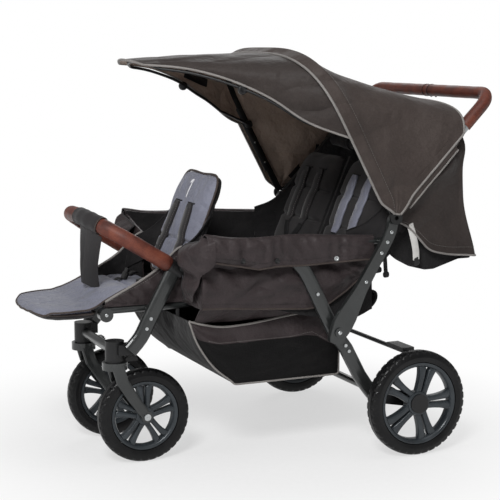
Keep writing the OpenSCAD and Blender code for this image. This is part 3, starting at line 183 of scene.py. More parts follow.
# ---- mesh parts: (points, faces, material numbers) ----
def two_skins(m, n):
    """Faces of a closed form of two m by n grids, the upper one first, and the count of faces round its edge."""
    k = np.arange(m * n).reshape(m, n)
    upper = np.stack([k[:-1, :-1], k[:-1, 1:], k[1:, 1:], k[1:, :-1]], -1).reshape(-1, 4)
    faces = np.stack([upper, upper[:, ::-1] + m * n], 1).reshape(-1, 4)
    edge = np.concatenate([k[0], k[1:, -1], k[-1, -2::-1], k[-2:0:-1, 0]])
    after = np.roll(edge, -1)
    rim = np.stack([after, edge, edge + m * n, after + m * n], -1)
    return np.concatenate([faces, rim]).tolist(), len(rim)


def sheet_part(g, t, away, mats=(0, 1)):
    """A sheet of thickness t under the grid g; away is a point that its outer side looks away from."""
    m, n = g.shape[:2]
    nor = unit(np.cross(np.gradient(g, axis=1), np.gradient(g, axis=0)))
    if np.sum(nor * (g - np.asarray(away, float))) < 0:
        g, nor = g[::-1], -nor[::-1]
    faces, rim = two_skins(m, n)
    mat = list(mats) * ((len(faces) - rim) // 2) + [mats[0]] * rim
    return np.concatenate([g.reshape(-1, 3), (g - nor * t).reshape(-1, 3)]), faces, mat


def ring_part(rings, mat=0, closed=False):
    """A skin over rings of points, each a closed loop; the ends are capped unless the rings close."""
    rings = np.asarray(rings, float)
    m, n = rings.shape[:2]
    k = np.arange(m * n).reshape(m, n)
    a, b = (k, np.roll(k, -1, 0)) if closed else (k[:-1], k[1:])
    faces = np.stack([a, np.roll(a, -1, 1), np.roll(b, -1, 1), b], -1).reshape(-1, 4).tolist()
    if not closed:
        faces += [k[0][::-1].tolist(), k[-1].tolist()]
    return rings.reshape(-1, 3), faces, [mat] * len(faces)


def frames(path):
    """Headings and two cross directions along a path."""
    d = unit(np.gradient(path, axis=0))
    a = np.zeros_like(d)
    a[0] = unit(np.cross(d[0], [0, 0, 1.0] if abs(d[0][2]) < 0.9 else [0, 1.0, 0]))
    for i in range(1, len(d)):
        a[i] = unit(a[i - 1] - d[i] * (a[i - 1] @ d[i]))
    return d, a, np.cross(a, d)


def circle(n):
    return np.linspace(0, 2 * np.pi, n, endpoint=False)


def tube_part(path, r, n=10, mat=0, closed=False):
    path = np.asarray(path, float)
    _, a, b = frames(path)
    r = np.broadcast_to(np.asarray(r, float), (len(path),))[:, None, None]
    t = circle(n)[None, :, None]
    return ring_part(path[:, None] + r * (np.cos(t) * a[:, None] + np.sin(t) * b[:, None]), mat, closed)


STRAP = np.array([[-1, -0.2], [-0.93, -0.5], [0, -0.5], [0.93, -0.5], [1, -0.2],
                  [1, 0.2], [0.93, 0.5], [0, 0.5], [-0.93, 0.5], [-1, 0.2]])


def strap_part(path, across, w, t, mat=0):
    """Flat webbing along a path, w wide in the direction across and t thick."""
    path = np.asarray(path, float)
    d = unit(np.gradient(path, axis=0))
    a = np.broadcast_to(np.asarray(across, float), d.shape)
    a = unit(a - d * np.sum(a * d, 1, keepdims=True))
    w = np.broadcast_to(np.asarray(w, float), (len(path),))[:, None, None] / 2
    return ring_part(path[:, None] + w * STRAP[:, :1] * a[:, None] + t * STRAP[:, 1:] * np.cross(d, a)[:, None], mat)


def lathe_part(centre, axis, profile, n=24, mat=0):
    """A turned form: profile lists (radius, height along the axis)."""
    axis = unit(axis)
    a = unit(np.cross(axis, [0.3, 0.2, 1.0] if abs(axis[2]) < 0.8 else [1.0, 0.1, 0]))
    t = circle(n)[:, None]
    ring = np.cos(t) * a + np.sin(t) * np.cross(axis, a)
    return ring_part([np.asarray(centre, float) + r * ring + h * axis for r, h in profile], mat)


def dome_part(centre, axis, r, h, mat=0, n=20):
    a = np.linspace(0, math.pi / 2, 6)[:-1]
    dome = [(r * math.cos(v), h * (0.35 + 0.65 * math.sin(v))) for v in a]
    return lathe_part(centre, axis, [(r, 0)] + dome + [(r * 0.08, h)], n, mat)


def soft_pow(v, p):
    return np.sign(v) * np.abs(v) ** p


def block_part(centre, ex, ey, ez, size, power=0.32, n=28, m=14):
    """A rounded block on the axes ex, ey, ez."""
    t = circle(n) + 0.1
    p = np.linspace(-math.pi / 2 + 0.02, math.pi / 2 - 0.02, m)[:, None]
    places = xyz(soft_pow(np.cos(t), power) * soft_pow(np.cos(p), power),
                 soft_pow(np.sin(t), power) * soft_pow(np.cos(p), power), soft_pow(np.sin(p), power))
    axes = np.stack([unit(ex), unit(ey), unit(ez)])
    return ring_part(np.asarray(centre, float) + 0.5 * (places * size) @ axes)


def stitch_parts(path, pitch=6.5, long=4.2, r=0.45, mat=0):
    """A row of single stitches along a path."""
    path = np.asarray(path, float)
    run = np.linalg.norm(np.diff(path, axis=0), axis=1).sum()
    count = max(int(run / pitch), 1)
    ends = even(path, count * 4 + 1)[::4]
    share = long / pitch
    return [tube_part([a, mix(a, b, share / 2), mix(a, b, share)], [r * 0.6, r, r * 0.6], 5, mat)
            for a, b in zip(ends[:-1], ends[1:])]


def make(name, parts, mats, body=None, sharp=55):
    """A piece from its parts; it rides on body."""
    faces, base = [], 0
    for p, f, _ in parts:
        faces += [[v + base for v in q] for q in f]
        base += len(p)
    me = bpy.data.meshes.new(name)
    me.from_pydata(metres(np.concatenate([p for p, _, _ in parts])).tolist(), [], faces)
    for m in mats:
        me.materials.append(m)
    me.polygons.foreach_set("material_index", [v for _, _, mat in parts for v in mat])
    me.polygons.foreach_set("use_smooth", [True] * len(faces))
    me.set_sharp_from_angle(angle=math.radians(sharp))
    me.update()
    ob = bpy.data.objects.new(name, me)
    scene.collection.objects.link(ob)
    if body:
        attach(ob, body)
    return ob


def cover(name, parts, mats, node, body=None, sharp=55):
    """A piece that takes the place of a CAD node."""
    ob = make(name, parts, mats, None, sharp)
    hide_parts(node)
    if body:
        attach(ob, body)
    return ob


def points_of(me):
    co = np.empty(len(me.vertices) * 3)
    me.vertices.foreach_get("co", co)
    return co.reshape(-1, 3)


def set_points(me, co):
    me.vertices.foreach_set("co", np.ascontiguousarray(co, float).ravel())
    me.update()


def declare_sheet(grids):
    """Works out the area of cloth in the grids, laid flat side by side, and the widest panel's width; neither is used.
    """
    area, across = 0.0, 0.0
    for g in grids if isinstance(grids, list) else [grids]:
        d1, d2 = g[1:, 1:] - g[:-1, :-1], g[1:, :-1] - g[:-1, 1:]
        area += np.linalg.norm(np.cross(d1, d2), axis=2).sum() / 2e6
        across = max(across, np.linalg.norm(np.diff(g, axis=1), axis=2).sum(1).max() / 1000)


def fan(ob, g, weights):
    """Bakes ob's transform and reads a share for each of its points from the nearest point of grid g; the shares are
    not used.
    """
    flat, w = metres(g.reshape(-1, 3)), np.broadcast_to(weights, g.shape[:2]).reshape(-1)
    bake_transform(ob)
    tree = nearest(flat)
    share = [float(w[tree.find(v.co)[1]]) for v in ob.data.vertices]


# ---- materials ----
def wire(tree, kind, inputs, output=0, **settings):
    """A new shader node with its settings and inputs, each a value or another node's output; gives its own output."""
    n = tree.nodes.new("ShaderNode" + kind)
    for key, value in settings.items():
        setattr(n, key, value)
    for key, value in inputs.items():
        if isinstance(value, bpy.types.NodeSocket):
            tree.links.new(value, n.inputs[key])
        else:
            n.inputs[key].default_value = value
    return n.outputs[output]


def math_node(tree, op, a, b):
    return wire(tree, "Math", {0: a, 1: b}, operation=op)


def blended(tree, a, b, share):
    """a and b, with a share of b."""
    return math_node(tree, "ADD", math_node(tree, "MULTIPLY", a, 1 - share), math_node(tree, "MULTIPLY", b, share))


def capped(tree, value, times):
    return math_node(tree, "MINIMUM", math_node(tree, "MULTIPLY", value, times), 1.0)


def colour(code):
    c = [int(code[i:i + 2], 16) / 255 for i in (1, 3, 5)]
    return [v / 12.92 if v <= 0.04045 else ((v + 0.055) / 1.055) ** 2.4 for v in c] + [1]


SOCKETS = {
    "metallic": "Metallic", "sheen": "Sheen Weight", "sheen_rough": "Sheen Roughness", "coat": "Coat Weight",
    "coat_rough": "Coat Roughness", "spec": "Specular IOR Level",
}
NOISE_RANGE = {"From Min": 0.36, "From Max": 0.64}  # where most of a noise lies
NET_TINT, YARN_TINT = 0.6, 0.45  # shares of a net's or a weave's height in the colour


def look(name, ramp, scales, fine, rough, bumps, stretch=(1, 1, 1), **sockets):
    """A procedural material: a ramp of colours over a coarse and a fine noise, roughness from the same noise, and
    bumps, each (kind, size of one repeat in mm, height in mm)."""
    m = bpy.data.materials.new(name)
    m.use_nodes = True
    tree = m.node_tree
    shader = tree.nodes["Principled BSDF"]
    for key, value in sockets.items():
        shader.inputs[SOCKETS[key]].default_value = value
    where = wire(tree, "TexCoord", {}, "Object")

    def placed(scale, turn=0.0):
        return wire(tree, "Mapping", {"Vector": where, "Scale": scale, "Rotation": (turn, 0, 0)})

    place = placed(stretch)

    def noise(scale, detail, via=place):
        return wire(tree, "TexNoise", {"Vector": via, "Scale": scale, "Detail": detail})

    def cells(size, feature, **more):
        return wire(tree, "TexVoronoi", {"Vector": place, "Scale": 1000 / size, **more}, feature=feature)

    fac = blended(tree, noise(scales[0], 5), noise(scales[1], 3), fine)
    fac = tint = wire(tree, "MapRange", {"Value": fac, **NOISE_RANGE})
    for kind, size, height in bumps:
        if kind == "noise":
            h = noise(1000 / size, 4)
        elif kind == "crease":
            drawn = noise(1000 / size, 2, placed((0.7, 0.45, 1), 0.35))
            ridge = math_node(tree, "ABSOLUTE", math_node(tree, "SUBTRACT", drawn, 0.5), 0.0)
            h = capped(tree, ridge, 5.0)
        elif kind == "cells":
            h = cells(size, "SMOOTH_F1")
        elif kind == "net":
            h = math_node(tree, "SUBTRACT", 1.0, capped(tree, cells(size, "DISTANCE_TO_EDGE", Randomness=0.35), 4.0))
            tint = blended(tree, tint, h, NET_TINT)
        else:
            yarns = [noise(1000 / size, 2, placed(squeeze)) for squeeze in ((1, 1, 0.1), (0.1, 0.1, 1))]
            h = math_node(tree, "MULTIPLY", math_node(tree, "ADD", *yarns), 0.5)
            tint = blended(tree, tint, h, YARN_TINT)
        under = shader.inputs["Normal"].links
        bump = {"Height": h, "Strength": 1.0, "Distance": height / 1000}
        if under:
            bump["Normal"] = under[0].from_socket
        tree.links.new(wire(tree, "Bump", bump), shader.inputs["Normal"])
    tone = wire(tree, "ValToRGB", {"Fac": tint})
    bands = tone.node.color_ramp.elements
    bands[0].color, bands[1].color = colour(ramp[0]), colour(ramp[-1])
    for i, code in enumerate(ramp[1:-1]):
        bands.new((i + 1) / (len(ramp) - 1)).color = colour(code)
    tree.links.new(tone, shader.inputs["Base Color"])
    tree.links.new(wire(tree, "MapRange", {"Value": fac, "To Min": rough[0], "To Max": rough[1]}),
                   shader.inputs["Roughness"])
    return m


WOVEN = [("weave", 1.5, 0.12), ("noise", 9, 0.25), ("noise", 130, 24.0), ("crease", 210, 14.0)]
SATIN = {"sheen": 0.04, "sheen_rough": 0.4}
MATT = {"sheen": 0.1, "sheen_rough": 0.5, "spec": 0.2}
# The cloth's own colour, made a little lighter as painted light because the hood's side catches more light; hems and
# trims share it.
LIT_FABRIC = look("melange_fabric_painted_light", ["#322b29", "#453d3a", "#58504c"], (14, 620), 0.72, (0.5, 0.66), WOVEN, spec=0.18,
              **SATIN)
# The same cloth as the one above, made darker as painted shade, for the visor's top and the rear drape.
SHADED_FABRIC = look("drape_fabric_painted_shade", ["#282321", "#37312f", "#47403d"], (14, 620), 0.72, (0.5, 0.66), WOVEN, spec=0.18, **SATIN)
QUILT = look("padded_fabric", ["#272222", "#383132", "#494142"], (14, 620), 0.7, (0.42, 0.58),
             [("weave", 1.5, 0.12), ("noise", 12, 0.4), ("noise", 70, 14.0), ("crease", 120, 12.0)], spec=0.2, **SATIN)
# The inner side of the hood and visor: the cloth lightened as painted light, for the light that shines through it.
HOOD_IN_LIT = look("hood_inner_fabric_painted_light", ["#8b7b70", "#a39185", "#baa79a"], (14, 620), 0.7, (0.6, 0.8),
               [("weave", 1.5, 0.1), ("noise", 10, 0.3), ("noise", 90, 20.0), ("crease", 150, 12.0)], **MATT)
LINING = look("black_lining", ["#141314", "#1d1c1d", "#282627"], (18, 560), 0.6, (0.75, 0.92),
              [("weave", 1.5, 0.1), ("noise", 11, 0.3), ("noise", 55, 14.0)], **MATT)
PIPING = look("grey_piping", ["#696562", "#817d7a", "#96928f"], (30, 800), 0.6, (0.55, 0.75), [("weave", 0.9, 0.08)],
              sheen=0.2, sheen_rough=0.4)
PAD = look("pale_pad_fabric", ["#6b6d77", "#7d7f8e", "#8e909b"], (12, 760), 0.5, (0.5, 0.68),
           [("weave", 1.1, 0.06), ("noise", 14, 0.4), ("noise", 34, 8.0), ("crease", 80, 6.0)], sheen=0.3,
           sheen_rough=0.35, spec=0.35)
DARK_PAD = look("dark_pad_fabric", ["#1b1a1b", "#272526", "#343132"], (16, 640), 0.6, (0.7, 0.9),
                [("weave", 1.4, 0.1), ("noise", 12, 0.3)], sheen=0.15, sheen_rough=0.5, spec=0.25)
WEBBING = look("black_webbing", ["#0f0f10", "#1a1a1b", "#262627"], (40, 900), 0.6, (0.6, 0.8), [("weave", 1.2, 0.16)],
               spec=0.3)
LEATHER = look("brown_leather", ["#3d1d17", "#53291f", "#673427", "#784230"], (26, 420), 0.4, (0.42, 0.6),
               [("cells", 1.6, 0.1), ("noise", 6, 0.18)], coat=0.04, coat_rough=0.4, spec=0.35)
THREAD = look("brown_thread", ["#4b2a1d", "#6b4030", "#7f5340"], (60, 900), 0.6, (0.5, 0.7), [("weave", 0.6, 0.05)])
RUBBER = look("tyre_rubber", ["#080809", "#0f0f10", "#181819"], (22, 500), 0.5, (0.3, 0.48), [("noise", 2.2, 0.06)],
              spec=0.18, coat=0.12, coat_rough=0.22)
RIM = look("slate_rim", ["#282c30", "#33383c", "#3f4448"], (18, 900), 0.45, (0.25, 0.4), [("noise", 1.0, 0.015)],
           metallic=0.25, spec=0.45)
PAINT = look("slate_paint", ["#262828", "#303232", "#3b3d3d"], (12, 1600), 0.5, (0.28, 0.42), [("noise", 0.8, 0.012)],
             metallic=0.45, coat=0.5, coat_rough=0.14)
PLASTIC = look("black_plastic", ["#0a0a0b", "#111112", "#1a1a1b"], (20, 800), 0.55, (0.36, 0.52),
               [("noise", 0.9, 0.03)], spec=0.4)
STEEL = look("bright_steel", ["#9da0a1", "#b9bcbd", "#d0d2d3"], (50, 900), 0.5, (0.2, 0.38), [("noise", 0.7, 0.008)],
             (1, 1, 6), metallic=1.0)
ALLOY = look("satin_alloy", ["#85898a", "#9a9d9e", "#adb0b1"], (30, 900), 0.5, (0.3, 0.46), [("noise", 0.7, 0.008)],
             (1, 1, 5), metallic=0.9)
NET = look("basket_net", ["#050505", "#0c0b0c", "#1b1a1a"], (16, 500), 0.3, (0.5, 0.7),
           [("net", 4.2, 0.4), ("noise", 60, 5.0)], spec=0.15)
WHITE = look("white_elastic", ["#bdbbb8", "#d6d4d1", "#e4e2df"], (40, 900), 0.5, (0.6, 0.8), [("weave", 1.0, 0.1)])
PRINT = look("pale_print", ["#d4d4d8", "#e6e6ea", "#f0f0f3"], (30, 700), 0.5, (0.5, 0.7), [("weave", 1.1, 0.05)])

# ---- CAD nodes that stay: each gets its slot's finish ----
FINISH = {
    "tyre": RUBBER, "rim": RIM, "black_plastic": PLASTIC, "steel": STEEL, "frame_paint": PAINT,
    "handle_alloy": ALLOY, "leather": LEATHER, "hood_fabric": LIT_FABRIC, "pad_fabric": PAD, "dark_fabric": DARK_PAD,
}
for row in frame["record"]["subparts"]:
    ob = frame["nodes"][row["node"]]
    finish = FINISH[row["material_slot"]]
    if ob.material_slots:
        for s in ob.material_slots:
            s.material = finish
    else:
        ob.data.materials.append(finish)


# ---- wheels ----
# The centre is the left one's, blocks are those of the tread and turn is that of the spokes
Wheel = namedtuple("Wheel", "kind centre tyre_d width rim_d blocks hub_d turn")
WHEELS = (Wheel("rear", (375, 0, 142.5), 285, 44, 222, 38, 66, math.pi / 2),
          Wheel("front", (137, -690, 125), 250, 40, 184, 34, 50, 0.0))
HUB_LENGTH = 36
SPOKES = 5
NOTCH = 2.6  # depth of the gaps between shoulder blocks
SPOKE = [(-1, -1), (1, -1), (1, 0.45), (0.86, 0.82), (0.5, 1), (-0.55, 1), (-0.86, 0.86), (-1, 0.6)]


def tyre(wheel, e, side):
    """A tyre with a ribbed crown, notched shoulder blocks and a raised line on its sidewalls."""
    centre, big, seat = np.array(wheel.centre) * [e, 1.0, 1.0], wheel.tyre_d / 2, wheel.rim_d / 2
    wall = [(-x, mix(seat, big, s)) for x, s in ((0.97, 0.3), (1.0, 0.46), (1.0, 0.5), (0.97, 0.54), (0.95, 0.66))]
    crown = [(-x, big - h) for x, h in ((0.88, 6.0), (0.80, 3.6), (0.70, 2.0), (0.52, 0.9), (0.42, 0.6), (0.38, 2.4),
                                        (0.30, 2.4), (0.26, 0.2), (0.1, 0))]
    half = [(-0.70, seat), (-0.88, seat + 2)] + wall + crown
    x, radius = np.array(half + [(-x, r) for x, r in half[::-1]]).T
    n = wheel.blocks * 8
    rings = []
    for i in range(n):
        a = 2 * math.pi * i / n
        r = radius.copy()
        for sign, cell in ((-1, i % 8), (1, (i + 4) % 8)):
            r[(x * sign > 0.45) & (r > big - 7)] -= NOTCH * (cell in (0, 1))
        rings.append(centre + xyz(x * wheel.width / 2, r * math.sin(a), r * math.cos(a)))
    cover(f"{wheel.kind}_tread_{side}", [ring_part(rings, 0, True)], [RUBBER], f"{wheel.kind}_tyre_{side}",
          f"{wheel.kind}_wheel_{side}", 38)


def rim(wheel, e, side):
    """A rim with split spokes that widen towards the ring."""
    centre, end = np.array(wheel.centre) * [e, 1.0, 1.0], HUB_LENGTH / 2
    big, half, hub = wheel.rim_d / 2, wheel.width / 2 - 4, wheel.hub_d / 2
    bed = [(half, 0.4), (half, 6), (half - 2.5, 9), (half - 9, 12.6)]
    ring = [(-x, big - h) for x, h in bed] + [(x, big - h) for x, h in bed[::-1]]
    rings = [[centre + [x, r * math.sin(a), r * math.cos(a)] for x, r in ring] for a in circle(120)]
    turned = [(0.5, -end), (0.86, -end), (0.92, -end + 3), (0.92, end - 14), (1, end - 10), (1, end - 3.5),
              (0.96, end - 1), (0.88, end - 0.4), (0.5, end - 0.4)]
    parts = [ring_part(rings, 0, True), lathe_part(centre, (e, 0, 0), [(hub * r, h) for r, h in turned], 48)]
    for a in np.arange(SPOKES) * 2 * np.pi / SPOKES + wheel.turn:
        radial, aside = np.array([0, math.sin(a), math.cos(a)]), np.array([0, math.cos(a), -math.sin(a)])
        for s in (-1, 1):
            rings = []
            for t in span(16):
                inner = mix(1.6, 4.2, t) + 9 * step(0.9, 1.06, t)
                outer = big * (0.135 + 0.075 * t + 0.075 * t**4) + 2.5 * (1 - t) ** 4
                face, deep = mix(14.5, 12.0, t) + 1.5 * hump(t), mix(-1.5, -3.5, t)
                mid, wide, tall = (inner + outer) / 2, (outer - inner) / 2, (face - deep) / 2
                at = centre + radial * mix(hub - 4, big - 10, t)
                rings.append([at + aside * s * (mid + wide * u) + [e * ((face + deep) / 2 + tall * v), 0, 0]
                              for u, v in SPOKE])
            parts.append(ring_part(rings))
    cover(f"{wheel.kind}_rim_cast_{side}", parts, [RIM], f"{wheel.kind}_rim_{side}",
          f"{wheel.kind}_wheel_{side}", 42)


for build in (tyre, rim):
    for e, side in SIDES:
        for wheel in WHEELS:
            build(wheel, e, side)

# ---- handle plates: bowed bars from the fold pivot up to the hood's pivot ----
line = curve([(-236, 318), (-222, 345), (-186, 407), (-147, 473), (-104, 543), (-80, 582), (-67, 614), (-62, 646)], 60)
way = unit(np.gradient(line, axis=0))
wide = np.interp(span(60), [0, 0.03, 0.14, 0.22, 0.42, 0.6, 0.97, 1], [30, 42, 60, 58, 36, 31, 29, 18])
for e, side in SIDES:
    bar = strap_part(xyz(e * 346.0, *line.T), xyz(0, way[:, 1], -way[:, 0]), wide, 16)
    cover(f"handle_plate_bar_{side}", [bar], [PAINT], f"handle_plate_{side}", "handle", 30)
    caps = [dome_part((e * 358.0, -222.05, 347.01), (e, 0, 0), 5.6, 3.4)]
    make(f"fold_caps_{side}", caps, [STEEL], "handle")

# ---- leather: the handle's grip and the bumper bar ----
HOOD = np.array([-62.0, 642.0])  # Y and Z of the hood's pivot
LEAN, BOW = math.radians(44.4), math.radians(28)  # slopes of the handle and of the hood's main bow
SLEEVE_X = 322.7
GRIP_R, GRIP_BEND, GRIP_END = 17.0, 48, 399
HANDLE_UP = np.array([0, -math.cos(LEAN), math.sin(LEAN)])


def on_handle(x, along, off=0):
    """A place on the handle: along it from the hood's pivot, and off above it."""
    return xyz(x, HOOD[0] + along * math.sin(LEAN) - off * math.cos(LEAN),
               HOOD[1] + along * math.cos(LEAN) + off * math.sin(LEAN))


def leather_cover(name, path, r, seam, lines, stitch, thread_r, node, body):
    """Leather sewn round a bar: a seam along one side of its path, and a line of stitches on both sides of it."""
    parts = [tube_part(path, *r, 0), tube_part(seam, thread_r, 6, 1)]
    for stitches in lines:
        parts += stitch_parts(stitches, *stitch, 1)
    cover(name, parts, [LEATHER, THREAD], node, body)


bend = np.linspace(0, math.pi / 2, 14)
arm = np.stack([np.full(10, SLEEVE_X), np.linspace(326, GRIP_END, 10, endpoint=False)], 1)
turn = np.stack([SLEEVE_X - GRIP_BEND + GRIP_BEND * np.cos(bend), GRIP_END + GRIP_BEND * np.sin(bend)], 1)
grip_line = even(np.vstack([arm, turn, (turn * [-1, 1])[::-1], (arm * [-1, 1])[::-1]]), 150)
grip_path = on_handle(*grip_line.T)
share = span(150)
crease = np.minimum(np.abs(share - 0.5) * 900, 8)
grip_r = GRIP_R + 0.3 * np.sin(share * 61) * np.sin(share * 23) - 1.1 * bell(crease, 0, 1.6)
grip_r[:2] -= [2.0, 0.7]
grip_r[-2:] -= [0.7, 2.0]
d = frames(grip_path)[0]
low = 0.6 * unit(np.cross(d, HANDLE_UP)) - 0.8 * HANDLE_UP
leather_cover("handle_grip_leather", grip_path, (grip_r, 28), grip_path + 17.1 * unit(low),
              [grip_path + 17.2 * unit(low + shift / 17 * np.cross(d, low)) for shift in (-3.4, 3.4)],
              (7, 4.2, 0.55), 0.9, "handle_grip", "handle_bar")
loops = []
for x in (-13, 13):
    t = np.linspace(0.15, 2 * math.pi - 0.15, 26)
    loops.append(strap_part(on_handle(x, 447 + 17.8 * np.cos(t), 17.8 * np.sin(t)), (1, 0, 0), 3, 0.9))
    loops.append(block_part(on_handle(x, 444, -20.5), (1, 0, 0), HANDLE_UP, (0, 0.7, 0.7), (6, 9, 4), 0.4))
make("grip_loops", loops, [WEBBING], "handle_bar")

SLOPE = math.radians(32.2)
BUMP_DIR = np.array([0, -math.cos(SLOPE), math.sin(SLOPE)])
BUMP_UP = np.array([0, math.sin(SLOPE), math.cos(SLOPE)])
BUMP_HALF, BUMP_STRAIGHT, BUMP_REACH, BUMP_R = 182, 44.4, 177.6, 20.6
t = np.linspace(0, math.pi, 240)
flat = np.stack([BUMP_HALF * soft_pow(np.cos(t), 0.75), BUMP_STRAIGHT + BUMP_REACH * soft_pow(np.sin(t), 0.75)], 1)
flat = even(np.vstack([[BUMP_HALF, 0.6], flat, [-BUMP_HALF, 0.6]]), 180)
bumper_path = np.array([0, -630, 528.0]) + flat @ np.stack([[1.0, 0, 0], BUMP_DIR])
share = span(180)
bumper_r = BUMP_R + 0.35 * np.sin(share * 70) * np.sin(share * 31)
bumper_r[:3] -= [3.0, 1.1, 0.3]
bumper_r[-3:] -= [0.3, 1.1, 3.0]
d = frames(bumper_path)[0]
inward = unit(np.cross(d, BUMP_UP))
inward = -inward if inward[90] @ BUMP_DIR > 0 else inward
under = unit(inward * 0.55 - BUMP_UP * 0.84)
leather_cover("bumper_leather", bumper_path, (bumper_r, 30), bumper_path + 20.7 * under,
              [bumper_path + 20.9 * unit(under + shift * np.cross(d, under)) for shift in (-0.2, 0.2)],
              (8, 4.8, 0.6), 1.0, "bumper_bar", "bumper")


# ---- hood ----
LEGS = 0.4  # beyond this share of an arch's half its legs are straight
FOOT, KNEE = 13, 250  # heights on the bow where the fabric begins and its legs end


def arch(s, half_w, foot, leg, top):
    """Across and up places of an arch: s from -1 to 1."""
    s = np.asarray(s, float)
    a = np.abs(s)
    t = np.radians(90 * (1 - np.minimum(a, LEGS) / LEGS))
    x = np.where(a > LEGS, np.sign(s) * half_w, np.sign(s) * half_w * np.abs(np.cos(t)) ** 0.6)
    return x, np.where(a > LEGS, mix(leg, foot, (a - LEGS) / (1 - LEGS)), leg + (top - leg) * np.sin(t) ** 0.6)


def on_bow(x, v, behind):
    return xyz(x, HOOD[0] - v * math.sin(BOW) + behind * math.cos(BOW),
               HOOD[1] + v * math.cos(BOW) + behind * math.sin(BOW))


def even_arch(n):
    """Values of s that space an arch's points evenly."""
    s = np.linspace(-1, 1, 4001)
    x, v = arch(s, 360, 40, KNEE, 494)
    run = np.concatenate([[0], np.cumsum(np.hypot(np.diff(x), np.diff(v)))])
    return np.interp(np.linspace(0, run[-1], n), run, s)


def flared(x, v, by, high):
    """Places across an arch that widens by so much at its feet."""
    return x + by * np.sign(x) * step(high, 24, v)


def outward(p):
    """Directions out of a drape's grid, away from the seats."""
    return unit(xyz(p[..., 0] * 0.6, np.maximum(p[..., 1], 0) + 62, 0))


HS = even_arch(121)
x, v = arch(HS, 361.2, FOOT, KNEE, 494.6)
pocket = on_bow(flared(x, v, 6.2, 80), v, np.array([[-20], [-17], [-11], [-4], [4], [11]]) * step(8, 60, v))
x, v = arch(HS, 361.0, FOOT, KNEE, 494.4)
front = on_bow(flared(x, v, 6.4, 80), v, 13.5 * step(8, 60, v))
x, v = arch(HS, 348.75, FOOT, 300, 385)
rear = on_handle(flared(x, v, 18.4, 90), np.minimum(v, 300))
rear[:, 2] += np.maximum(v - 300, 0)
t = column(34)
p = mix(front, rear, t[..., None])
radius = np.hypot(p[..., 1] - HOOD[0], p[..., 2] - HOOD[1])
fall = 29.4 * hump(t ** 0.75) * np.clip((radius - 34) / 230, 0, 1)
crease = 2.2 * np.sin(9 * t + 0.02 * radius) * hump(t) * step(60, 240, radius)
crease = crease + 1.6 * waves(HS * 0.9, t, 5) * hump(np.minimum(t * 1.15, 1))
crease = crease + 2.2 * np.sin(radius / 9.5 + 4 * t) * bell(t, 0.8, 0.16) * step(110, 200, radius) * (np.abs(HS) > LEGS)
out = unit(xyz(p[..., 0], 0, np.maximum(p[..., 2] - 813.5, 0)))
hood_grid = np.concatenate([pocket, p - out * (fall + crease)[..., None]])
# Outside: the lightened copy of the cloth, painted light; inside: the lining side, lightened as painted light shining
# through the cloth.
hood = cover("hood_fabric", [sheet_part(hood_grid, 2.2, (0, -60, 700))], [LIT_FABRIC, HOOD_IN_LIT], "hood_panel")
trim = [tube_part(even(hood_grid[0] + [0, -1.0, 0.4], 160), 3.2, 10)]
trim += [tube_part(even(hood_grid[2:, j], 30), 2.4, 8) for j in (0, -1)]
trim.append(tube_part(even(hood_grid[-1], 150) + [0, 2.0, 0], 3.0, 10))
piping = make("hood_piping", trim, [PIPING])
line = hood_grid[7]
line = line + 0.5 * unit(xyz(line[:, 0], 0, np.maximum(line[:, 2] - 813, 0)))
hood_stitch = make("hood_stitches", stitch_parts(even(line, 200)), [PIPING])
for ob in (hood, piping, hood_stitch):
    fan(ob, hood_grid, 1 - np.vstack([np.zeros((len(pocket), 1)), t]))
declare_sheet(hood_grid)


# ---- visor ----
VS = np.linspace(-1, 1, 81)
x, v = arch(VS * 0.42, 351.8, 88.2, KNEE, 490)
t = column(40)
visor_grid = mix(xyz(95 * VS, 24.7 * VS**2 - 690, 1054 - 12.35 * VS**2), on_bow(x, v, -10.5), t[..., None])
droop = np.where(t < 0.66, 15 * hump(t / 0.66), -13 * hump((t - 0.66) / 0.34))
visor_grid[..., 2] += (
    26.35 * hump(t) * mix(0.1, 1, VS**2) + 1.3 * waves(VS, t, 11) * hump(t) + droop * np.abs(VS) ** 5
    + 3.2 * np.sin(15 * t + 11 * np.abs(VS) + 1.2 * VS) * bell(t, 0.72, 0.2) * np.abs(VS) ** 2 * step(1, 0.93, t))
# The visor's top is the darker copy of the cloth, painted shade; its underside is the lightened inner side, painted
# light shining through the cloth.
visor = cover("visor_fabric", [sheet_part(visor_grid, 2.4, (0, -400, 700))], [SHADED_FABRIC, HOOD_IN_LIT],
              "visor_panel")
edge = np.vstack([visor_grid[::-1, 0], visor_grid[0, 1:], visor_grid[1:, -1]])
visor_piping = make("visor_piping", [tube_part(even(edge, 200) + [0, 0, -1.0], 3.1, 10)], [PIPING])
for ob in (visor, visor_piping):
    spot(*on_bow(0.0, 490.0, -12.0))
    spot(*on_bow(0.0, 490.0, -140.0))
    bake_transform(ob)
declare_sheet(visor_grid)

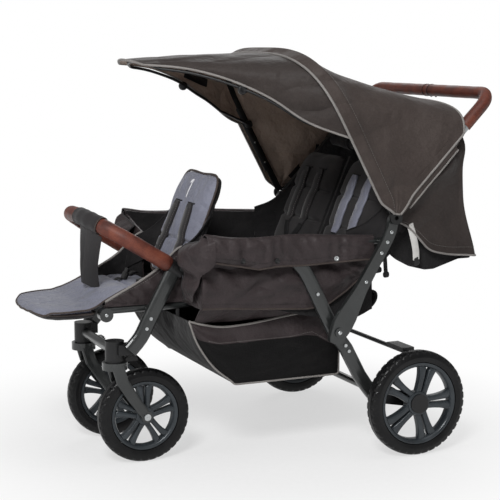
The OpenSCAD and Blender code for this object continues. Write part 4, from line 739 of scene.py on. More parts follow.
# The visor's bow under its rim, from hinge to hinge, with a knob and a grip strip on each arm
arm, parts = {}, []
for e, j in ((-1, 2), (1, -3)):
    hinge = [e * 341.0, -174.67, 853.91]
    inset = np.outer(1 - span(28), [-6.0 * e, 0, -3]) + [-5.0 * e, 0, -8.0]
    arm[e] = np.vstack([hinge, visor_grid[31:3:-1, j] + inset])
    parts.append(lathe_part(hinge, (e, 0, 0),
                            [(11, -4), (12, -3), (12, 5), (10.5, 6.5), (5, 6.5), (4, 5.5), (0.5, 5.5)],
                            28))
    knob = visor_grid[19, j] + [-e * 10.0, 0, -13]
    parts.append(lathe_part(knob, (e, 0, 0), [(11, 0), (12.5, 1.5), (12.5, 8), (11, 9.5), (5, 9.5), (4, 8.6),
                                              (0.5, 8.6)], 28))
    c = 4 * j + (2 if e > 0 else 0)
    under = visor_grid[22:31, c]
    aside = unit(visor_grid[22:31, c + 1] - visor_grid[22:31, c - 1])
    lift = 4.6 * unit(np.cross(aside, np.gradient(under, axis=0)))
    parts.append(strap_part(under + lift if lift[4, 2] < 0 else under - lift, aside, 24, 2.6))
bow_path = even(np.vstack([arm[-1], visor_grid[3, 3:-3] + [0, 3.0, -8.5], arm[1][::-1]]), 150)
cover("visor_bow_tube", [tube_part(bow_path, 4.0, 10)] + parts, [PLASTIC], "visor_bow", "visor")


def riveted(name, place, first, last, rivets, x, head_x, off, across, w, t, mat, body):
    """A flat strip on a leg of the hood or the handle, with three rivets."""
    parts = [strap_part(place(x, np.linspace(first, last, 30), off), across, w, t)]
    parts += [dome_part(place(head_x, q, off), (-math.copysign(1, x), 0, 0), 3.2, 1.6, 1, 14) for q in rivets]
    make(name, parts, [mat, STEEL], body)


for e, side in SIDES:
    riveted(f"bow_strip_{side}", on_bow, 84, 300, (110, 180, 250), e * 346.5, e * 345.0, -6.0,
            (0, math.cos(BOW), math.sin(BOW)), 22, 3.0, PLASTIC, "main_bow")
    riveted(f"sleeve_strip_{side}", on_handle, 30, 282, (52, 160, 262), e * 304.0, e * 302.6, 7.0, HANDLE_UP, 20, 2.6,
            WEBBING, "handle")


# ---- rear drape ----
# Shares of the drape's width, depth and height along its upper and lower edges, from the hood's pivot to the middle
TOP_X = [1, 1, 1, 0.955, 0.925, 0.9, 0.55, 0]
TOP_Y = [0.2, 0.5, 0.78, 0.9, 0.97, 1.02, 1.12, 1.15]
TOP_Z = [0.2, 0.5, 0.78, 0.84, 0.98, 1.1, 1.27, 1.29]
LOW_X = [1, 1, 0.985, 0.97, 0.95, 0.93, 0.55, 0]
LOW_Y = [0.08, 0.22, 0.42, 0.6, 0.85, 0.99, 1, 1]
LOW_Z = [0.88, 0.72, 0.28, 0.13, 0.06, 0.03, 0, 0]
DRAPE_HALF, DRAPE_LONG, HANG = 325.8, 300, 20.05
DS = np.linspace(-1, 1, 161)
q = 1 - np.abs(DS)
drape_x = np.where(DS < 0, -1.0, 1.0) * DRAPE_HALF
d_top = xyz(drape_x * table(TOP_X, q),
            HOOD[0] + DRAPE_LONG * np.minimum(table(TOP_Y, q), 1) * math.sin(LEAN) + HANG * math.cos(LEAN),
            HOOD[1] + DRAPE_LONG * table(TOP_Z, q) * math.cos(LEAN) - HANG * math.sin(LEAN))
d_low = xyz(drape_x * table(LOW_X, q), mix(HOOD[0], 234, table(LOW_Y, q)), mix(514, HOOD[1], table(LOW_Z, q)))


def crumple(ob):
    """Rides on the handle, with a mesh of its own."""
    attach(ob, "handle")
    spot(0, HOOD[0] + 14.3, HOOD[1] - 14)
    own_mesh(ob)


t = column(44)
p = mix(d_top, d_low, t[..., None])
fold = 8 * t * np.sin(5 * np.pi * DS) * q**2
fold = fold + 1.6 * t * np.sin(2 * np.pi * 5.3 * DS + 0.8) * step(1.0, 0.8, np.abs(DS))
belly = 13 * bell(t, 0.1, 0.12) * np.minimum(t * 25, 1) - 13 * bell(t, 0.6, 0.26)
fold = fold + belly * step(0.98, 0.75, np.abs(DS)) + 1.2 * waves(DS, t, 23) * t
drape_grid = p + outward(p) * fold[..., None]
# The drape's outside is the darker copy of the cloth: painted shade.
drape = cover("rear_drape_fabric", [sheet_part(drape_grid, 2.2, (0, -60, 620))], [SHADED_FABRIC, LINING],
              "rear_drape")
trim = [tube_part(even(drape_grid[-1], 200), 2.8, 10)]
trim += [tube_part(even(drape_grid[:, j], 20), 2.4, 8) for j in (0, -1)]
trim += stitch_parts(even(drape_grid[-4] * [1.004, 1.004, 1], 240), 7, 4.4, 0.5)
drape_trim = make("rear_drape_piping", trim, [PIPING])
for ob in (drape, drape_trim):
    crumple(ob)
declare_sheet(drape_grid)

# The roof strip that joins the hood's rear edge to the drape, and a rolled curtain under it
k = span(10)[:, None, None]
roof_grid = mix(even(hood_grid[-1], 121), even(drape_grid[0], 121), k) - hump(k) * [0, 0, 11]
roof = make("rear_roof_strip", [sheet_part(roof_grid, 2.0, (0, 0, 700))], [LIT_FABRIC, LINING], "handle")
ROLL = 282
x = np.linspace(-ROLL, ROLL, 90)
roll = xyz(x, 96 + 5 * np.sin(x / 37), 808 - 16 * np.cos(x / ROLL * 1.5) + 3 * np.sin(x / 29))
parts = [tube_part(roll, 19 + 2.5 * np.sin(x / 17) * np.sin(x / 61), 20)]
for tie in (-190, -60, 70, 200):
    t = np.linspace(0, 2 * np.pi, 26)
    c = np.array([tie, np.interp(tie, x, roll[:, 1]), np.interp(tie, x, roll[:, 2])])
    for path in (c + xyz(0, 21.5 * np.sin(t), 21.5 * np.cos(t)), curve(c + [[0, 4, 18], [0, 18, 40], [0, 26, 62]], 14)):
        parts.append(strap_part(path, (1, 0, 0), 16, 1.6))
curtain = make("rear_curtain_roll", parts, [LINING])
crumple(curtain)
declare_sheet(roof_grid)

# The black pouch that hangs inside the drape, a little lower
p_low = xyz(d_low[:, 0] * 0.93, d_low[:, 1] - 14, np.interp(
    d_low[:, 1] - 14, [-80, -28, 13, 66, 95, 117, 177, 234], [566, 524, 503, 489, 489, 495, 511, 513]))
t = column(30)
p = mix(d_top * [0.94, 1, 1] + [0, -8, -4], p_low, t[..., None])
pouch_grid = p - outward(p) * ((8 + 2.5 * waves(DS, t, 61)) * hump(t))[..., None]
parts = [sheet_part(pouch_grid, 2.0, (0, -60, 620), (0, 0)), tube_part(even(pouch_grid[-1], 200), 2.2, 8)]
pouch = make("rear_pouch_fabric", parts, [LINING])
crumple(pouch)
declare_sheet(pouch_grid)

# The fabric band over each handle sleeve
along, k = np.linspace(52, 262, 36), column(12)
band_x = 349 - 3.5 * k - 2.0 * (2 * k - 1) ** 2 + 0.8 * np.sin(along / 17 + 3 * k)
for e, side in SIDES:
    g = on_handle(e * band_x, along, mix(19, -22, k))
    ob = make(f"sleeve_band_{side}", [sheet_part(g, 2.0, (0, 0, 700)), tube_part(even(g[-1], 40), 2.8, 8, 2)],
              [LIT_FABRIC, LINING, PIPING], "handle")
    declare_sheet(g)


# ---- padded pieces ----
PRESSURE, STEPS = 4, 20


def bake(ob):
    """Gives ob the mesh that its modifiers make."""
    me, old = evaluated(ob), ob.data
    ob.modifiers.clear()
    ob.data = me
    bpy.data.meshes.remove(old)


def evaluated(ob):
    return bpy.data.meshes.new_from_object(ob.evaluated_get(bpy.context.evaluated_depsgraph_get()))


def puff(ob, cap):
    """Blows the closed mesh up as cloth, with no point moving further than cap (mm)."""
    rest = points_of(ob.data)
    cloth = ob.modifiers.new("cloth", "CLOTH")
    cloth.settings.use_pressure = True
    cloth.settings.uniform_pressure_force = PRESSURE
    cloth.settings.quality = 4
    cloth.settings.effector_weights.gravity = 0
    for f in range(1, STEPS + 1):
        scene.frame_set(f)
    me = evaluated(ob)
    move = points_of(me) - rest
    bpy.data.meshes.remove(me)
    ob.modifiers.remove(cloth)
    scene.frame_set(1)
    far = np.linalg.norm(move, axis=1, keepdims=True)
    set_points(ob.data, rest + move * np.minimum(1, cap / 1000 / np.maximum(far, 1e-9)))


def plan(u, v, w, l, taper, corner, tongue):
    """The outline of a pad whose sides pull in between its corners; tongue rounds its far end."""
    x = w / 2 * u * (1 - 0.035 * (1 - v * v)) * (1 - corner * v**8) * (1 - taper * np.maximum(v, 0) ** 2)
    return x, l / 2 * (1 + v * (1 - corner * u**8)) + tongue * (1 - u * u) * np.maximum(v, 0) ** 2


class Axes:
    """A pad's own axes: local x, y along it and z through it, turned by angle about X and put at origin."""

    def __init__(self, origin, angle=0.0, turn=False):
        c, s = math.cos(math.radians(angle)), math.sin(math.radians(angle))
        self.m = np.array([[1, 0, 0], [0, c, -s], [0, s, c]])
        if turn:
            self.m = self.m @ np.diag([-1.0, -1.0, 1.0])
        self.o = np.asarray(origin, float)

    def out(self, p):
        return np.asarray(p, float) @ self.m.T + self.o

    def back(self, p):
        return (np.asarray(p, float) - self.o) @ self.m

    def local(self, points):
        """The places of a mesh's points, given in metres."""
        return self.back(np.asarray(points) * 1000 - [0, AXLE_Y, 0])


def cushion(name, axes, w, l, t, mats, body, node, slot, taper=0.0, channels=(), seams=(), two_sided=True,
            voxel=5.0, cap=6.0, shrink=4.0, edge=0.42, corner=0.1, tongue=0.0):
    """A padded piece: a crowned closed form, blown up as cloth, with its sewn channels pressed in afterwards."""
    u = np.sin(np.linspace(-1, 1, 25) * math.pi / 2)
    uu, vv = np.meshgrid(u, u)
    x, y = plan(uu, vv, w - 2 * shrink, l - 2 * shrink, taper, corner, tongue)
    crown = np.sqrt(np.clip((1 - uu**4) * (1 - vv**4), 0, 1))
    high = t * (edge + (1 - edge) * crown) - shrink * 0.6
    low = (t - high - shrink * 0.6) * 0.5 if two_sided else shrink * 0.3
    skins = [xyz(x, y + shrink, z).reshape(-1, 3) for z in (high - (t - high) * 0.1 if two_sided else high, low)]
    faces = two_skins(len(u), len(u))[0]
    ob = make(name, [(axes.out(np.concatenate(skins)), faces, [0] * len(faces))], mats)
    mod = ob.modifiers.new("remesh", "REMESH")
    mod.mode = "VOXEL"
    mod.voxel_size = voxel / 1000
    bake(ob)
    puff(ob, cap)
    smooth = ob.modifiers.new("smooth", "SMOOTH")
    smooth.factor, smooth.iterations = 0.5, 4
    ob.modifiers.new("sub", "SUBSURF").levels = 1
    bake(ob)
    p = axes.local(points_of(ob.data))
    upper = step(0.45 * t, 0.75 * t, p[:, 2])
    for c in channels:
        p[:, 2] -= upper * t * 0.2 * bell(p[:, 1], l / 2 * (1 + c), 5.5)
    for c in seams:
        p[:, 2] -= upper * t * 0.22 * bell(p[:, 0], w / 2 * c, 6.0)
    p[:, 2] += upper * 0.9 * waves(p[:, 0] / w, p[:, 1] / l, len(name))
    set_points(ob.data, metres(axes.out(p)))
    ob.data.materials.clear()
    for m in mats:
        ob.data.materials.append(m)
    mid = axes.local([q.center for q in ob.data.polygons])[:, 2]
    ob.data.polygons.foreach_set("material_index", [0 if z > 0.5 * t else len(mats) - 1 for z in mid])
    ob.data.polygons.foreach_set("use_smooth", [True] * len(mid))
    ob.data.update()
    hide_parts(node)
    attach(ob, body)
    return ob


def pad_piping(ob, axes, w, l, t, body, **form):
    """A closed line of piping round the middle of a pad, fitted to its mesh."""
    a = circle(180)
    c, s = np.cos(a), np.sin(a)
    k = 1 / np.maximum(np.abs(c), np.abs(s))
    centre = [0, l / 2]
    loop = np.stack(plan(c * k, s * k, w, l, **form), 1) - centre
    flat = axes.local(points_of(ob.data))[:, :2] - centre
    angle, far = np.arctan2(flat[:, 1], flat[:, 0]), np.hypot(flat[:, 0], flat[:, 1])
    reach = [far[np.cos(angle - v) > 0.9988].max() for v in np.arctan2(loop[:, 1], loop[:, 0])]
    loop = centre + (smoothed(reach, 2, "wrap") - 1.2)[:, None] * unit(loop)
    path = axes.out(xyz(*loop.T, 0.55 * t))
    make(ob.name + "_piping", [tube_part(path, 3.2, 8, closed=True)], [LIT_FABRIC], body)


def surface(ob, axes):
    """A function that gives the height of a pad's upper face at local places."""
    p = axes.local(points_of(ob.data))
    p = p[p[:, 2] > np.median(p[:, 2])]
    tree = nearest(p * [1, 1, 0])
    return lambda x, y: float(np.mean([p[i][2] for _, i, _ in tree.find_n(Vector((x, y, 0)), 6)]))


def laid(axes, height, flat, lift=1.6):
    """A path on a pad's upper face, from its local x and y places."""
    z = np.array([height(x, y) for x, y in flat]) + lift
    return axes.out(np.column_stack([flat, smoothed(z, 2) if len(z) > 4 else z]))


def reclined(hinge, lean):
    """The axes of a backrest that leans back from its hinge."""
    return Axes(Axes(hinge, 90 - lean).out([0, 8, -19]), 90 - lean)


REAR_X = 149  # middle of a rear seat
FRONT_SIZE, FRONT_FORM = (292, 314, 38), {"taper": 0.12, "corner": 0.05, "tongue": 0}
LEG_SIZE, LEG_FORM = (336, 134, 24), {"taper": 0.14, "corner": 0.06, "tongue": 22}
front_axes = reclined((0, -576, 455), 21.9)
front_back = cushion("front_back_pad", front_axes, *FRONT_SIZE, [PAD, LINING], "front_back", "front_seat_back",
                     "pad_fabric", channels=(-0.3,), edge=0.55, **FRONT_FORM)
cushion("front_cushion_pad", Axes((0, -604, 430.3), 0, True), 303, 190, 34, [PAD, LINING], "frame",
        "front_seat_cushion", "pad_fabric", 0, (0.1,), two_sided=False, cap=5)
leg_axes = Axes((0, -818, 396.6), 0, True)
leg_pad = cushion("leg_rest_pad", leg_axes, *LEG_SIZE, [PAD, DARK_PAD], "leg_rest", "leg_rest", "pad_fabric", cap=4,
                  shrink=3, edge=0.6, **LEG_FORM)
rear_axes, rear_back = {}, {}
for e, side in SIDES:
    rear_axes[e] = reclined((e * REAR_X, -136, 472), 23.2)
    rear_back[e] = cushion(f"rear_back_pad_{side}", rear_axes[e], 284, 332, 38, [DARK_PAD, LINING],
                           f"rear_back_{side}", f"rear_seat_back_{side}", "dark_fabric", 0.08, (-0.3, 0.25),
                           corner=0.06)
cushion("rear_bench_pad", Axes((0, -378, 460.3)), 585, 200, 38, [DARK_PAD, LINING], "frame", "rear_seat_cushion",
        "dark_fabric", 0, (0.1,), (0.0,), two_sided=False, voxel=6, cap=5)

# The padded divider between the two rear backrests
spine = rear_axes[1].out(xyz(-float(REAR_X), np.linspace(6, 322, 40), 12.0))
divider = make("rear_divider", [strap_part(spine, (1, 0, 0), 12, 22)], [LINING], "frame")

# Piping round the pale pads
pad_piping(front_back, front_axes, *FRONT_SIZE, "front_back", **FRONT_FORM)
pad_piping(leg_pad, leg_axes, *LEG_SIZE, "leg_rest", **LEG_FORM)


# ---- tub ----
RISE = [1, 0.64, 0.46, 0.46, 0.5, 0.4, 0.26, 0.13, 0]  # of the rim, from front to rear
TUB_FRONT, TUB_REAR = -585, -108


def rim_z(a):
    return 590 + 26 * table(RISE, a)


parts, cloth = [], []


def panel(g, *sheet):
    """A sheet of the cloth that is being sewn."""
    cloth.append(g)
    parts.append(sheet_part(g, *sheet))


ya, k = span(70), column(34)
y = mix(TUB_FRONT, TUB_REAR, ya)
low = eased([TUB_FRONT, -526, -400, -293, -234, -178, -119, TUB_REAR], [427, 424, 414, 406, 411, 443, 485, 492], 25, 70)
z = mix(low, rim_z(ya), k)
fold = 5.0 * np.sin((z - 0.25 * y) / 10.5 + 1.9 * np.sin(y / 47)) * bell(z, 480, 30) * hump(ya) ** 0.5
fold = fold + 6.0 * np.sin((y + 0.8 * z) / 11.0) * bell(z, 500, 34) * step(-440, -520, y)
fold = fold + 5.0 * np.sin((0.8 * y + z) / 12 + 1) * bell(z, 500, 34) * step(-330, -250, y) * step(TUB_REAR, -150, y)
fold = fold + 4.0 * np.sin((y - 0.6 * z) / 15) * bell(z, 515, 22) * step(-460, -420, y) * step(-290, -340, y)
seams = bell(z, 447 - 0.05 * (y + 484), 3.2) + bell(z, 433 - 0.06 * (y + 484), 3.2)
puffed = 10 * hump(np.minimum(k * 1.7, 1)) * hump(ya) ** 0.4 - 2.4 * seams * step(-300, -330, y)
wall = xyz(298.6 + puffed + fold + waves(ya, k, 31), y, z)
x, k = np.linspace(159.6, 294, 24), column(16)
bulge = 3.0 * hump(k) * hump((x - 159.6) / 134.4)
end = xyz(x, TUB_FRONT - bulge + waves(x / 134, k, 37), mix(424, np.interp(x, [159.6, 294], [569, 605.6]), k))
for e, side in SIDES:
    panel(wall * [e, 1, 1], 5.0, (0, -350, 500))
    panel(end * [e, 1, 1], 5.0, (0, -350, 500))
profile = even([[-557.7, 424.0], [-381, 424], [-375, 428], [-371, 450], [-366, 454], [-174, 454]], 60)
panel(xyz(np.linspace(-294, 294, 50), profile[:, :1], profile[:, 1:]), 5.6, (0, -380, 700))
for e, side in SIDES:
    parts.append(tube_part(even((wall[0] + [0.5, 0, 0]) * [e, 1, 1], 60), 2.4, 8, 2))
    parts += stitch_parts(even((wall[2] + [0.7, 0, 0]) * [e, 1, 1], 90), 6.5, 4.3, 0.5, 3)
# The front corners: fabric drawn round the ends of the top rails to the bumper's sockets
x, y = curve([(203, -612), (222, -622), (252, -625), (290, -620), (321, -609), (339, -590), (343, -566)], 44).T
u, k = span(44), column(30)
z = mix(np.interp(u, [0, 0.35, 0.75, 1], [436, 440, 500, 549]), np.interp(u, [0, 0.3, 0.7, 1], [583, 592, 606, 613]), k)
tuck = step(538, 500, z) * (1 - 0.55 * bell(z, 476, 26))
roll = 1 - np.sqrt(np.maximum(1 - step(0.8, 1, k) ** 2, 0))
crease = 3.0 * np.sin(z / 8.5 + 6 * u) * hump(u) * (1 - roll) * hump(k)
corner = xyz(mix(x, np.minimum(x, 300), np.maximum(tuck, roll)) + 0.5 * crease,
             mix(y, -590.5, np.maximum(0.85 * tuck, roll)) - crease, z)
for e, side in SIDES:
    g = corner * [e, 1, 1]
    panel(g, 2.6, (e * 250, -540, 520))
    parts += [tube_part(even(g[:, 0], 40), 2.2, 8, 3), tube_part(even(g[-1], 50), 2.2, 8, 3)]
# Short skirts inside the basket under the front of the walls, and black ones under their rear
y, k = np.linspace(TUB_FRONT, -235, 40), column(12)
for e, side in SIDES:
    panel(xyz(e * (294 - 60 * k + 4 * np.sin(y / 17 + 4 * k)), y, mix(428.0, 376, k)), 2.4, (0, -480, 430))
y, k = np.linspace(-385, -92, 40), column(10)
low = eased([-385, -300, -200, -140, -92], [412, 388, 370, 368, 390], 12, 40)
for e, side in SIDES:
    panel(xyz(e * (291.0 + 1.5 * np.sin(y / 19 + 3 * k)), y, mix(low, 470, k)), 2.4, (0, -240, 430), (1, 1))
# The black lip behind the bench
profile = curve([(-176, 452), (-130, 449), (-90, 442), (-76, 430), (-80, 408), (-104, 388), (-150, 380)], 40)
x = np.linspace(-292, 292, 40)
panel(xyz(x, profile[:, :1] + 2 * np.sin(x / 23) * column(40), profile[:, 1:]), 3.0, (0, -140, 420), (1, 1))
tub = cover("tub_fabric", parts, [QUILT, LINING, LIT_FABRIC, DARK_PAD], "tub_shell", "frame")
declare_sheet(cloth)

# Side flaps over the top rails, each held by three snaps
SNAPS = ((-489, 549, 3), (-390, 544, 3), (-218, 540, 4))  # Y, Z and material
SNAP = [(7.4, 0), (7.4, 1.4), (6.4, 2.6), (5.0, 2.3), (4.2, 1.4), (0.3, 2.0)]
PLATE_FRONT, PLATE_INSIDE, FLAP_OUTSIDE = -352, 336.6, 350.0  # how far out a flap may reach, beside a plate or not
section = curve([[0, 0.2], [0, 0.72], [0.1, 0.93], [0.4, 1], [0.75, 0.99], [0.95, 0.9], [1, 0.7], [1, 0.45], [1, 0.2],
                 [0.97, 0]], 40)
a = span(90)
y = mix(TUB_FRONT, TUB_REAR, a)
by_plate, ends = step(-420, -350, y), step(-112, -190, y)
held, near = (np.minimum(sum(bell(y, at, wide) for at, _, _ in SNAPS), 1) for wide in (17, 40))
bulge = (11.5 - 8.0 * held) * hump(a) ** 0.3 * ends * (1 - 0.55 * by_plate)
pleats = ends * 4.0 * np.sin(y / 6.3 + 2.2 * np.sin(y / 31)) * near
hem = np.interp(y, [-585, -551, -497, -444, -393, -322, -236, -99], [556, 547, 537, 526, 530, 528, 530, 532])
u, w = section[:, :1], section[:, 1:]
slant = 0.5 - np.abs(np.sin(y / 17 + 3.8 * w + 1.6 * np.sin(y / 47))) ** 0.7
slant = slant * (0.55 + 0.45 * np.sin(y / 38 - 3 * w))
body = hump(np.clip(w, 0, 1)) ** 0.7 * (u > 0.6)
x = mix(300.6, 335.8 - 6.3 * by_plate, u) + body * (bulge + pleats + 1.4 * waves(a, w, 43) + 9.0 * slant)
x = np.minimum(x, np.where(y > PLATE_FRONT, PLATE_INSIDE, FLAP_OUTSIDE))
flap_grid = xyz(x, y, mix(np.where(u > 0.5, hem, 540), rim_z(a) + 4.6, w) + 0.8 * waves(a, w + u, 41))
for e, side in SIDES:
    g = flap_grid * [e, 1, 1]
    parts = [sheet_part(g, 2.6, (e * 317, -350, 560)), tube_part(even(g[-1] + [0, 0, -0.5], 120), 2.6, 9, 2)]
    parts += stitch_parts(even(g[-4] + [e * 0.5, 0, 0], 120), mat=5)
    for y0, z0, mat in SNAPS:
        i = int(np.argmin(np.abs(y - y0)))
        j = int(np.argmin(np.abs(g[20:, i, 2] - z0))) + 20
        parts.append(lathe_part(g[j, i] - [e * 0.6, 0, 0], (e, 0, 0), SNAP, 24, mat))
    flap = cover(f"tub_flap_fabric_{side}", parts, [QUILT, LINING, LIT_FABRIC, PLASTIC, STEEL, DARK_PAD],
                 f"tub_flap_{side}", "frame")
    declare_sheet(g)


# ---- front seat ----
parts, cloth = [], []
y, top = curve([(-797, 437), (-760, 456), (-704, 484), (-660, 510), (-626, 540), (-600, 562), (-586, 568)], 60).T
k = column(18)
gather = 2.0 * np.sin((y + 40 * k) / 5.2) * step(-570, -640, y) * step(-800, -770, y) * hump(k)
for e, side in SIDES:
    g = xyz(e * (158.2 + gather + 1.5 * hump(k)), y, mix(424.0, top, k))
    panel(g, 5.0, (0, -680, 480))
    parts.append(tube_part(even(g[-1] + [0, 0, 1.5], 60), 3.2, 10, 2))
    parts += stitch_parts(even(g[-3] + [e * 0.6, 0, 0], 60), mat=2)
x, y = np.linspace(-153, 153, 40), np.linspace(-799, -558, 30)[:, None]
panel(xyz(x, y, 423.8 - 2.0 * hump((x + 153) / 306) * hump((y + 799) / 241)), 5.4, (0, -680, 600))
bucket = cover("front_bucket_fabric", parts, [QUILT, LINING, PIPING], "front_seat_shell", "frame")
declare_sheet(cloth)

# Gussets from the bucket's sides up to the backrest
s, k = span(24), span(26)[:, None]
fore_line = curve([(-640, 470), (-634, 500), (-622, 530), (-604, 560)], 24).T
for e, side in SIDES:
    fore = xyz(e * 153.0, *fore_line)
    aft = front_axes.out(xyz(e * (141.0 - 5 * s**2), mix(46, 196, s), 17.0))
    g = mix(fore, aft, k[..., None]) + xyz(e * 7 * hump(k) + 2.5 * np.sin(9 * s + 5 * k), 0, -16 * hump(k) * s)
    parts = [sheet_part(g, 2.4, (0, -560, 520), (1, 1)), tube_part(even(g[:, -1], 40), 2.4, 8, 1)]
    ob = make(f"back_gusset_{side}", parts, [QUILT, LINING])
    spot(0, -606, 540)
    spot(0, -552, 540)
    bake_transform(ob)
    declare_sheet(g)

# The pale apron from the seat cushion over the hinge to the leg rest
APRON_FRONT, APRON_REAR = -954, -738
y = np.linspace(APRON_FRONT, APRON_REAR, 60)
mid_z = eased([APRON_FRONT, -938, -880, -846, -820, -793, -772, APRON_REAR],
              [411, 421, 424, 425, 434, 453, 463, 468], 28, 60)
edge_z = eased([APRON_FRONT, -938, -880, -846, -820, -793, -760, APRON_REAR],
               [409, 418, 421, 422, 430, 443, 458, 467], 28, 60)
tip = np.maximum((-818 - y) / 67 - 1, 0)
half = np.where(y < -830, 168.5 * (1 - 0.14 * tip**2) * (1 - 0.06 * tip**8),
                np.interp(y, [-830, -797, APRON_REAR], [168, 155, 150]))
y, mid_z, edge_z, tip, half = (v[:, None] for v in (y, mid_z, edge_z, tip, half))
across = np.linspace(-1, 1, 51)
g = xyz(half * across, y - 22 * (1 - across**2) * tip**2,
        mix(mid_z, edge_z, np.abs(across) ** 3) + 1.6 * waves(across * 0.8, y / 200, 71) * (1 - across**4))
hem = np.vstack([g[::-1, 0], g[0, 1:-1], g[:, -1]]) + [0, 0, 0.4]
parts = [sheet_part(g, 3.0, (0, -800, 300), (0, 0)), tube_part(even(hem, 160), 2.6, 9, 1)]
apron = make("seat_apron", parts, [PAD, LIT_FABRIC])
spot(0, -788, 440)
spot(0, -836, 424)
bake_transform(apron)
declare_sheet(g)

# Black side wings between the rear seats and the handle
k = column(16)
y, z = mix(curve([(-176, 606), (-112, 628), (-34, 690), (56, 781), (126, 846)], 50).T[:, None],
           curve([(-176, 520), (-128, 500), (-70, 512), (24, 610), (104, 730)], 50).T[:, None], k)
wing = xyz(296.5 + 1.5 * waves(span(50), k, 67), y, z)
for e, side in SIDES:
    g = wing * [e, 1, 1]
    ob = make(f"seat_wing_{side}", [sheet_part(g, 2.4, (0, -60, 680)), tube_part(even(g[0], 60), 2.2, 8, 1)],
              [DARK_PAD, LINING])
    spot(0, -120, 560)
    spot(0, 30, 700)
    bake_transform(ob)
    declare_sheet(g)


# ---- basket ----
BASKET_HALF, BAND_ROWS, FRONT_ROWS = 243.5, 12, 26
top_line = np.vstack([
    curve([(-600, 386), (-560, 374), (-505, 364), (-440, 366), (-392, 371), (-313, 381), (-251, 386)], 80),
    curve([(-251, 386), (-210, 362), (-180, 334), (-166, 319)], 26)[1:]])
low_line = np.vstack([
    curve([(-600, 386), (-577, 325), (-534, 262), (-480, 216)], 60),
    curve([(-480, 216), (-474, 209.5), (-462, 208)], 8),
    even([[-462.0, 208], [-178, 208]], 60), curve([(-178, 208), (-167, 210), (-166, 220)], 8),
    even([[-166, 220.0], [-166, 319]], 24)])
top_line, low_line = even(top_line, 90), even(low_line, 90)
# Where the band of fabric ends and the net begins, as a share of the way down
s = np.linspace(0.02, 0.98, 200)
split = []
for a, b in zip(top_line, low_line):
    y, z = mix(a[0], b[0], s), mix(a[1], b[1], s)
    band = np.interp(y, [-600, -562, -520, -313, -251, -166], [352, 333, 321, 322, 326, 285])
    split.append(s[min(int(np.sum(z > band)), 199)])
split = smoothed(split, 4)
k = np.concatenate([split * column(BAND_ROWS), split + (1 - split) * column(24)[1:]])
u = span(90)
p = mix(top_line, low_line, k[..., None])
sag = 7 * hump(k) * hump(u) + 2.4 * waves(u, k, 53) * hump(k)
seam_y = np.linspace(-548, -190, 60)
seam_z = np.interp(seam_y, [-562, -520, -313, -251, -166], [333, 321, 322, 330, 280]) + 3
parts, cloth = [], []
for e, side in SIDES:
    g = xyz(e * (BASKET_HALF + sag), p[..., 0], p[..., 1])
    cloth.append(g)
    parts += [sheet_part(g[:BAND_ROWS], 2.4, (0, -380, 300)),
              sheet_part(g[BAND_ROWS - 1:], 2.4, (0, -380, 300), (3, 1)),
              tube_part(even(g[0] + [0, 0, 0.8], 120), 3.0, 9, 2), tube_part(even(g[-1], 140), 2.6, 9, 2)]
    parts += stitch_parts(xyz(e * 250.6, seam_y, seam_z), r=0.5, mat=2)
# The front panel is a dark cloth, given black lining on both sides to paint in the shade that falls on it as well.
across = np.linspace(-BASKET_HALF, BASKET_HALF, 60)
i = np.arange(90)[:, None]
sag = 7 * np.cos(across / BASKET_HALF * math.pi / 2) * hump(i / FRONT_ROWS) * (i < FRONT_ROWS)
panel(xyz(across, low_line[:, :1] - 0.75 * sag, low_line[:, 1:] - 0.5 * sag), 2.4, (0, -380, 340), (1, 1))
basket = cover("basket_fabric", parts, [QUILT, LINING, PIPING, NET], "basket", "frame")
declare_sheet(cloth)
straps = []
for e, side in SIDES:
    for path, across in (([(e * 152, -596, 380), (e * 152, -597, 396), (e * 152, -596, 406)], (1, 0, 0)),
                         ([(e * 243, -262, 380), (e * 243, -258, 392), (e * 243, -252, 396)], (0, 1, 0.2))):
        straps.append(strap_part(curve(path, 14), across, 22, 2.2))
make("basket_hangers", straps, [WEBBING], "frame")


# ---- harnesses, straps and buckles ----
SMALL_BUCKLE = (26, 34, 10)
WAIST_X = 74  # of a rear seat's side buckles, from the middle of the seat


def buckle(centre, ex, ey, ez, size=(30, 38, 11)):
    """A side-release buckle: a body, a webbing bar and two side prongs."""
    axes = np.stack([unit(ex), unit(ey), unit(ez)])
    w, l, t = size
    blocks = [(0, 0, (w, l * 0.62, t), {"power": 0.35}), (0, l * 0.42, (w * 0.78, l * 0.3, t * 0.7), {"power": 0.35})]
    blocks += [(s * w * 0.5, 0, (4, l * 0.4, t * 0.6), {"power": 0.5, "n": 16, "m": 8}) for s in (-1, 1)]
    return [block_part(np.asarray(centre, float) + axes[0] * x + axes[1] * y, *axes, *rest, **form)
            for x, y, *rest, form in blocks]


def shoulder(name, axes, ob, xs, y0, y1, body, pad_mat, flare=1.0):
    """Two padded shoulder straps on a backrest, and the webbing below them."""
    height = surface(ob, axes)
    pads, webs = [], []
    for x in xs:
        flat = np.stack([np.linspace(x, x * flare, 30), np.linspace(y1 + 16, y0, 30)], 1)
        width = 40 - 16 * np.abs(np.linspace(-1, 1, 30)) ** 6
        pads.append(strap_part(laid(axes, height, flat, 3.2), (1, 0, 0), width, 6.0))
        for s in (-14, 14):
            pads += stitch_parts(laid(axes, height, flat + [s, 0], 6.4)[2:-2], 6, 4, 0.45, 1)
        web = np.stack([mix(x * flare, x * 0.25, step(0, 1, span(24))), np.linspace(y0, 30, 24)], 1)
        webs.append(strap_part(laid(axes, height, web, 2.0), (1, 0, 0), 24, 1.8))
        slit = np.stack([np.linspace(x - 22, x + 22, 12), np.full(12, y1 + 18)], 1)
        webs.append(tube_part(laid(axes, height, slit, 0.6), 2.0, 8))
    make(name + "_pads", pads, [pad_mat, PIPING], body)
    make(name + "_webbing", webs, [WEBBING], body)
    return height


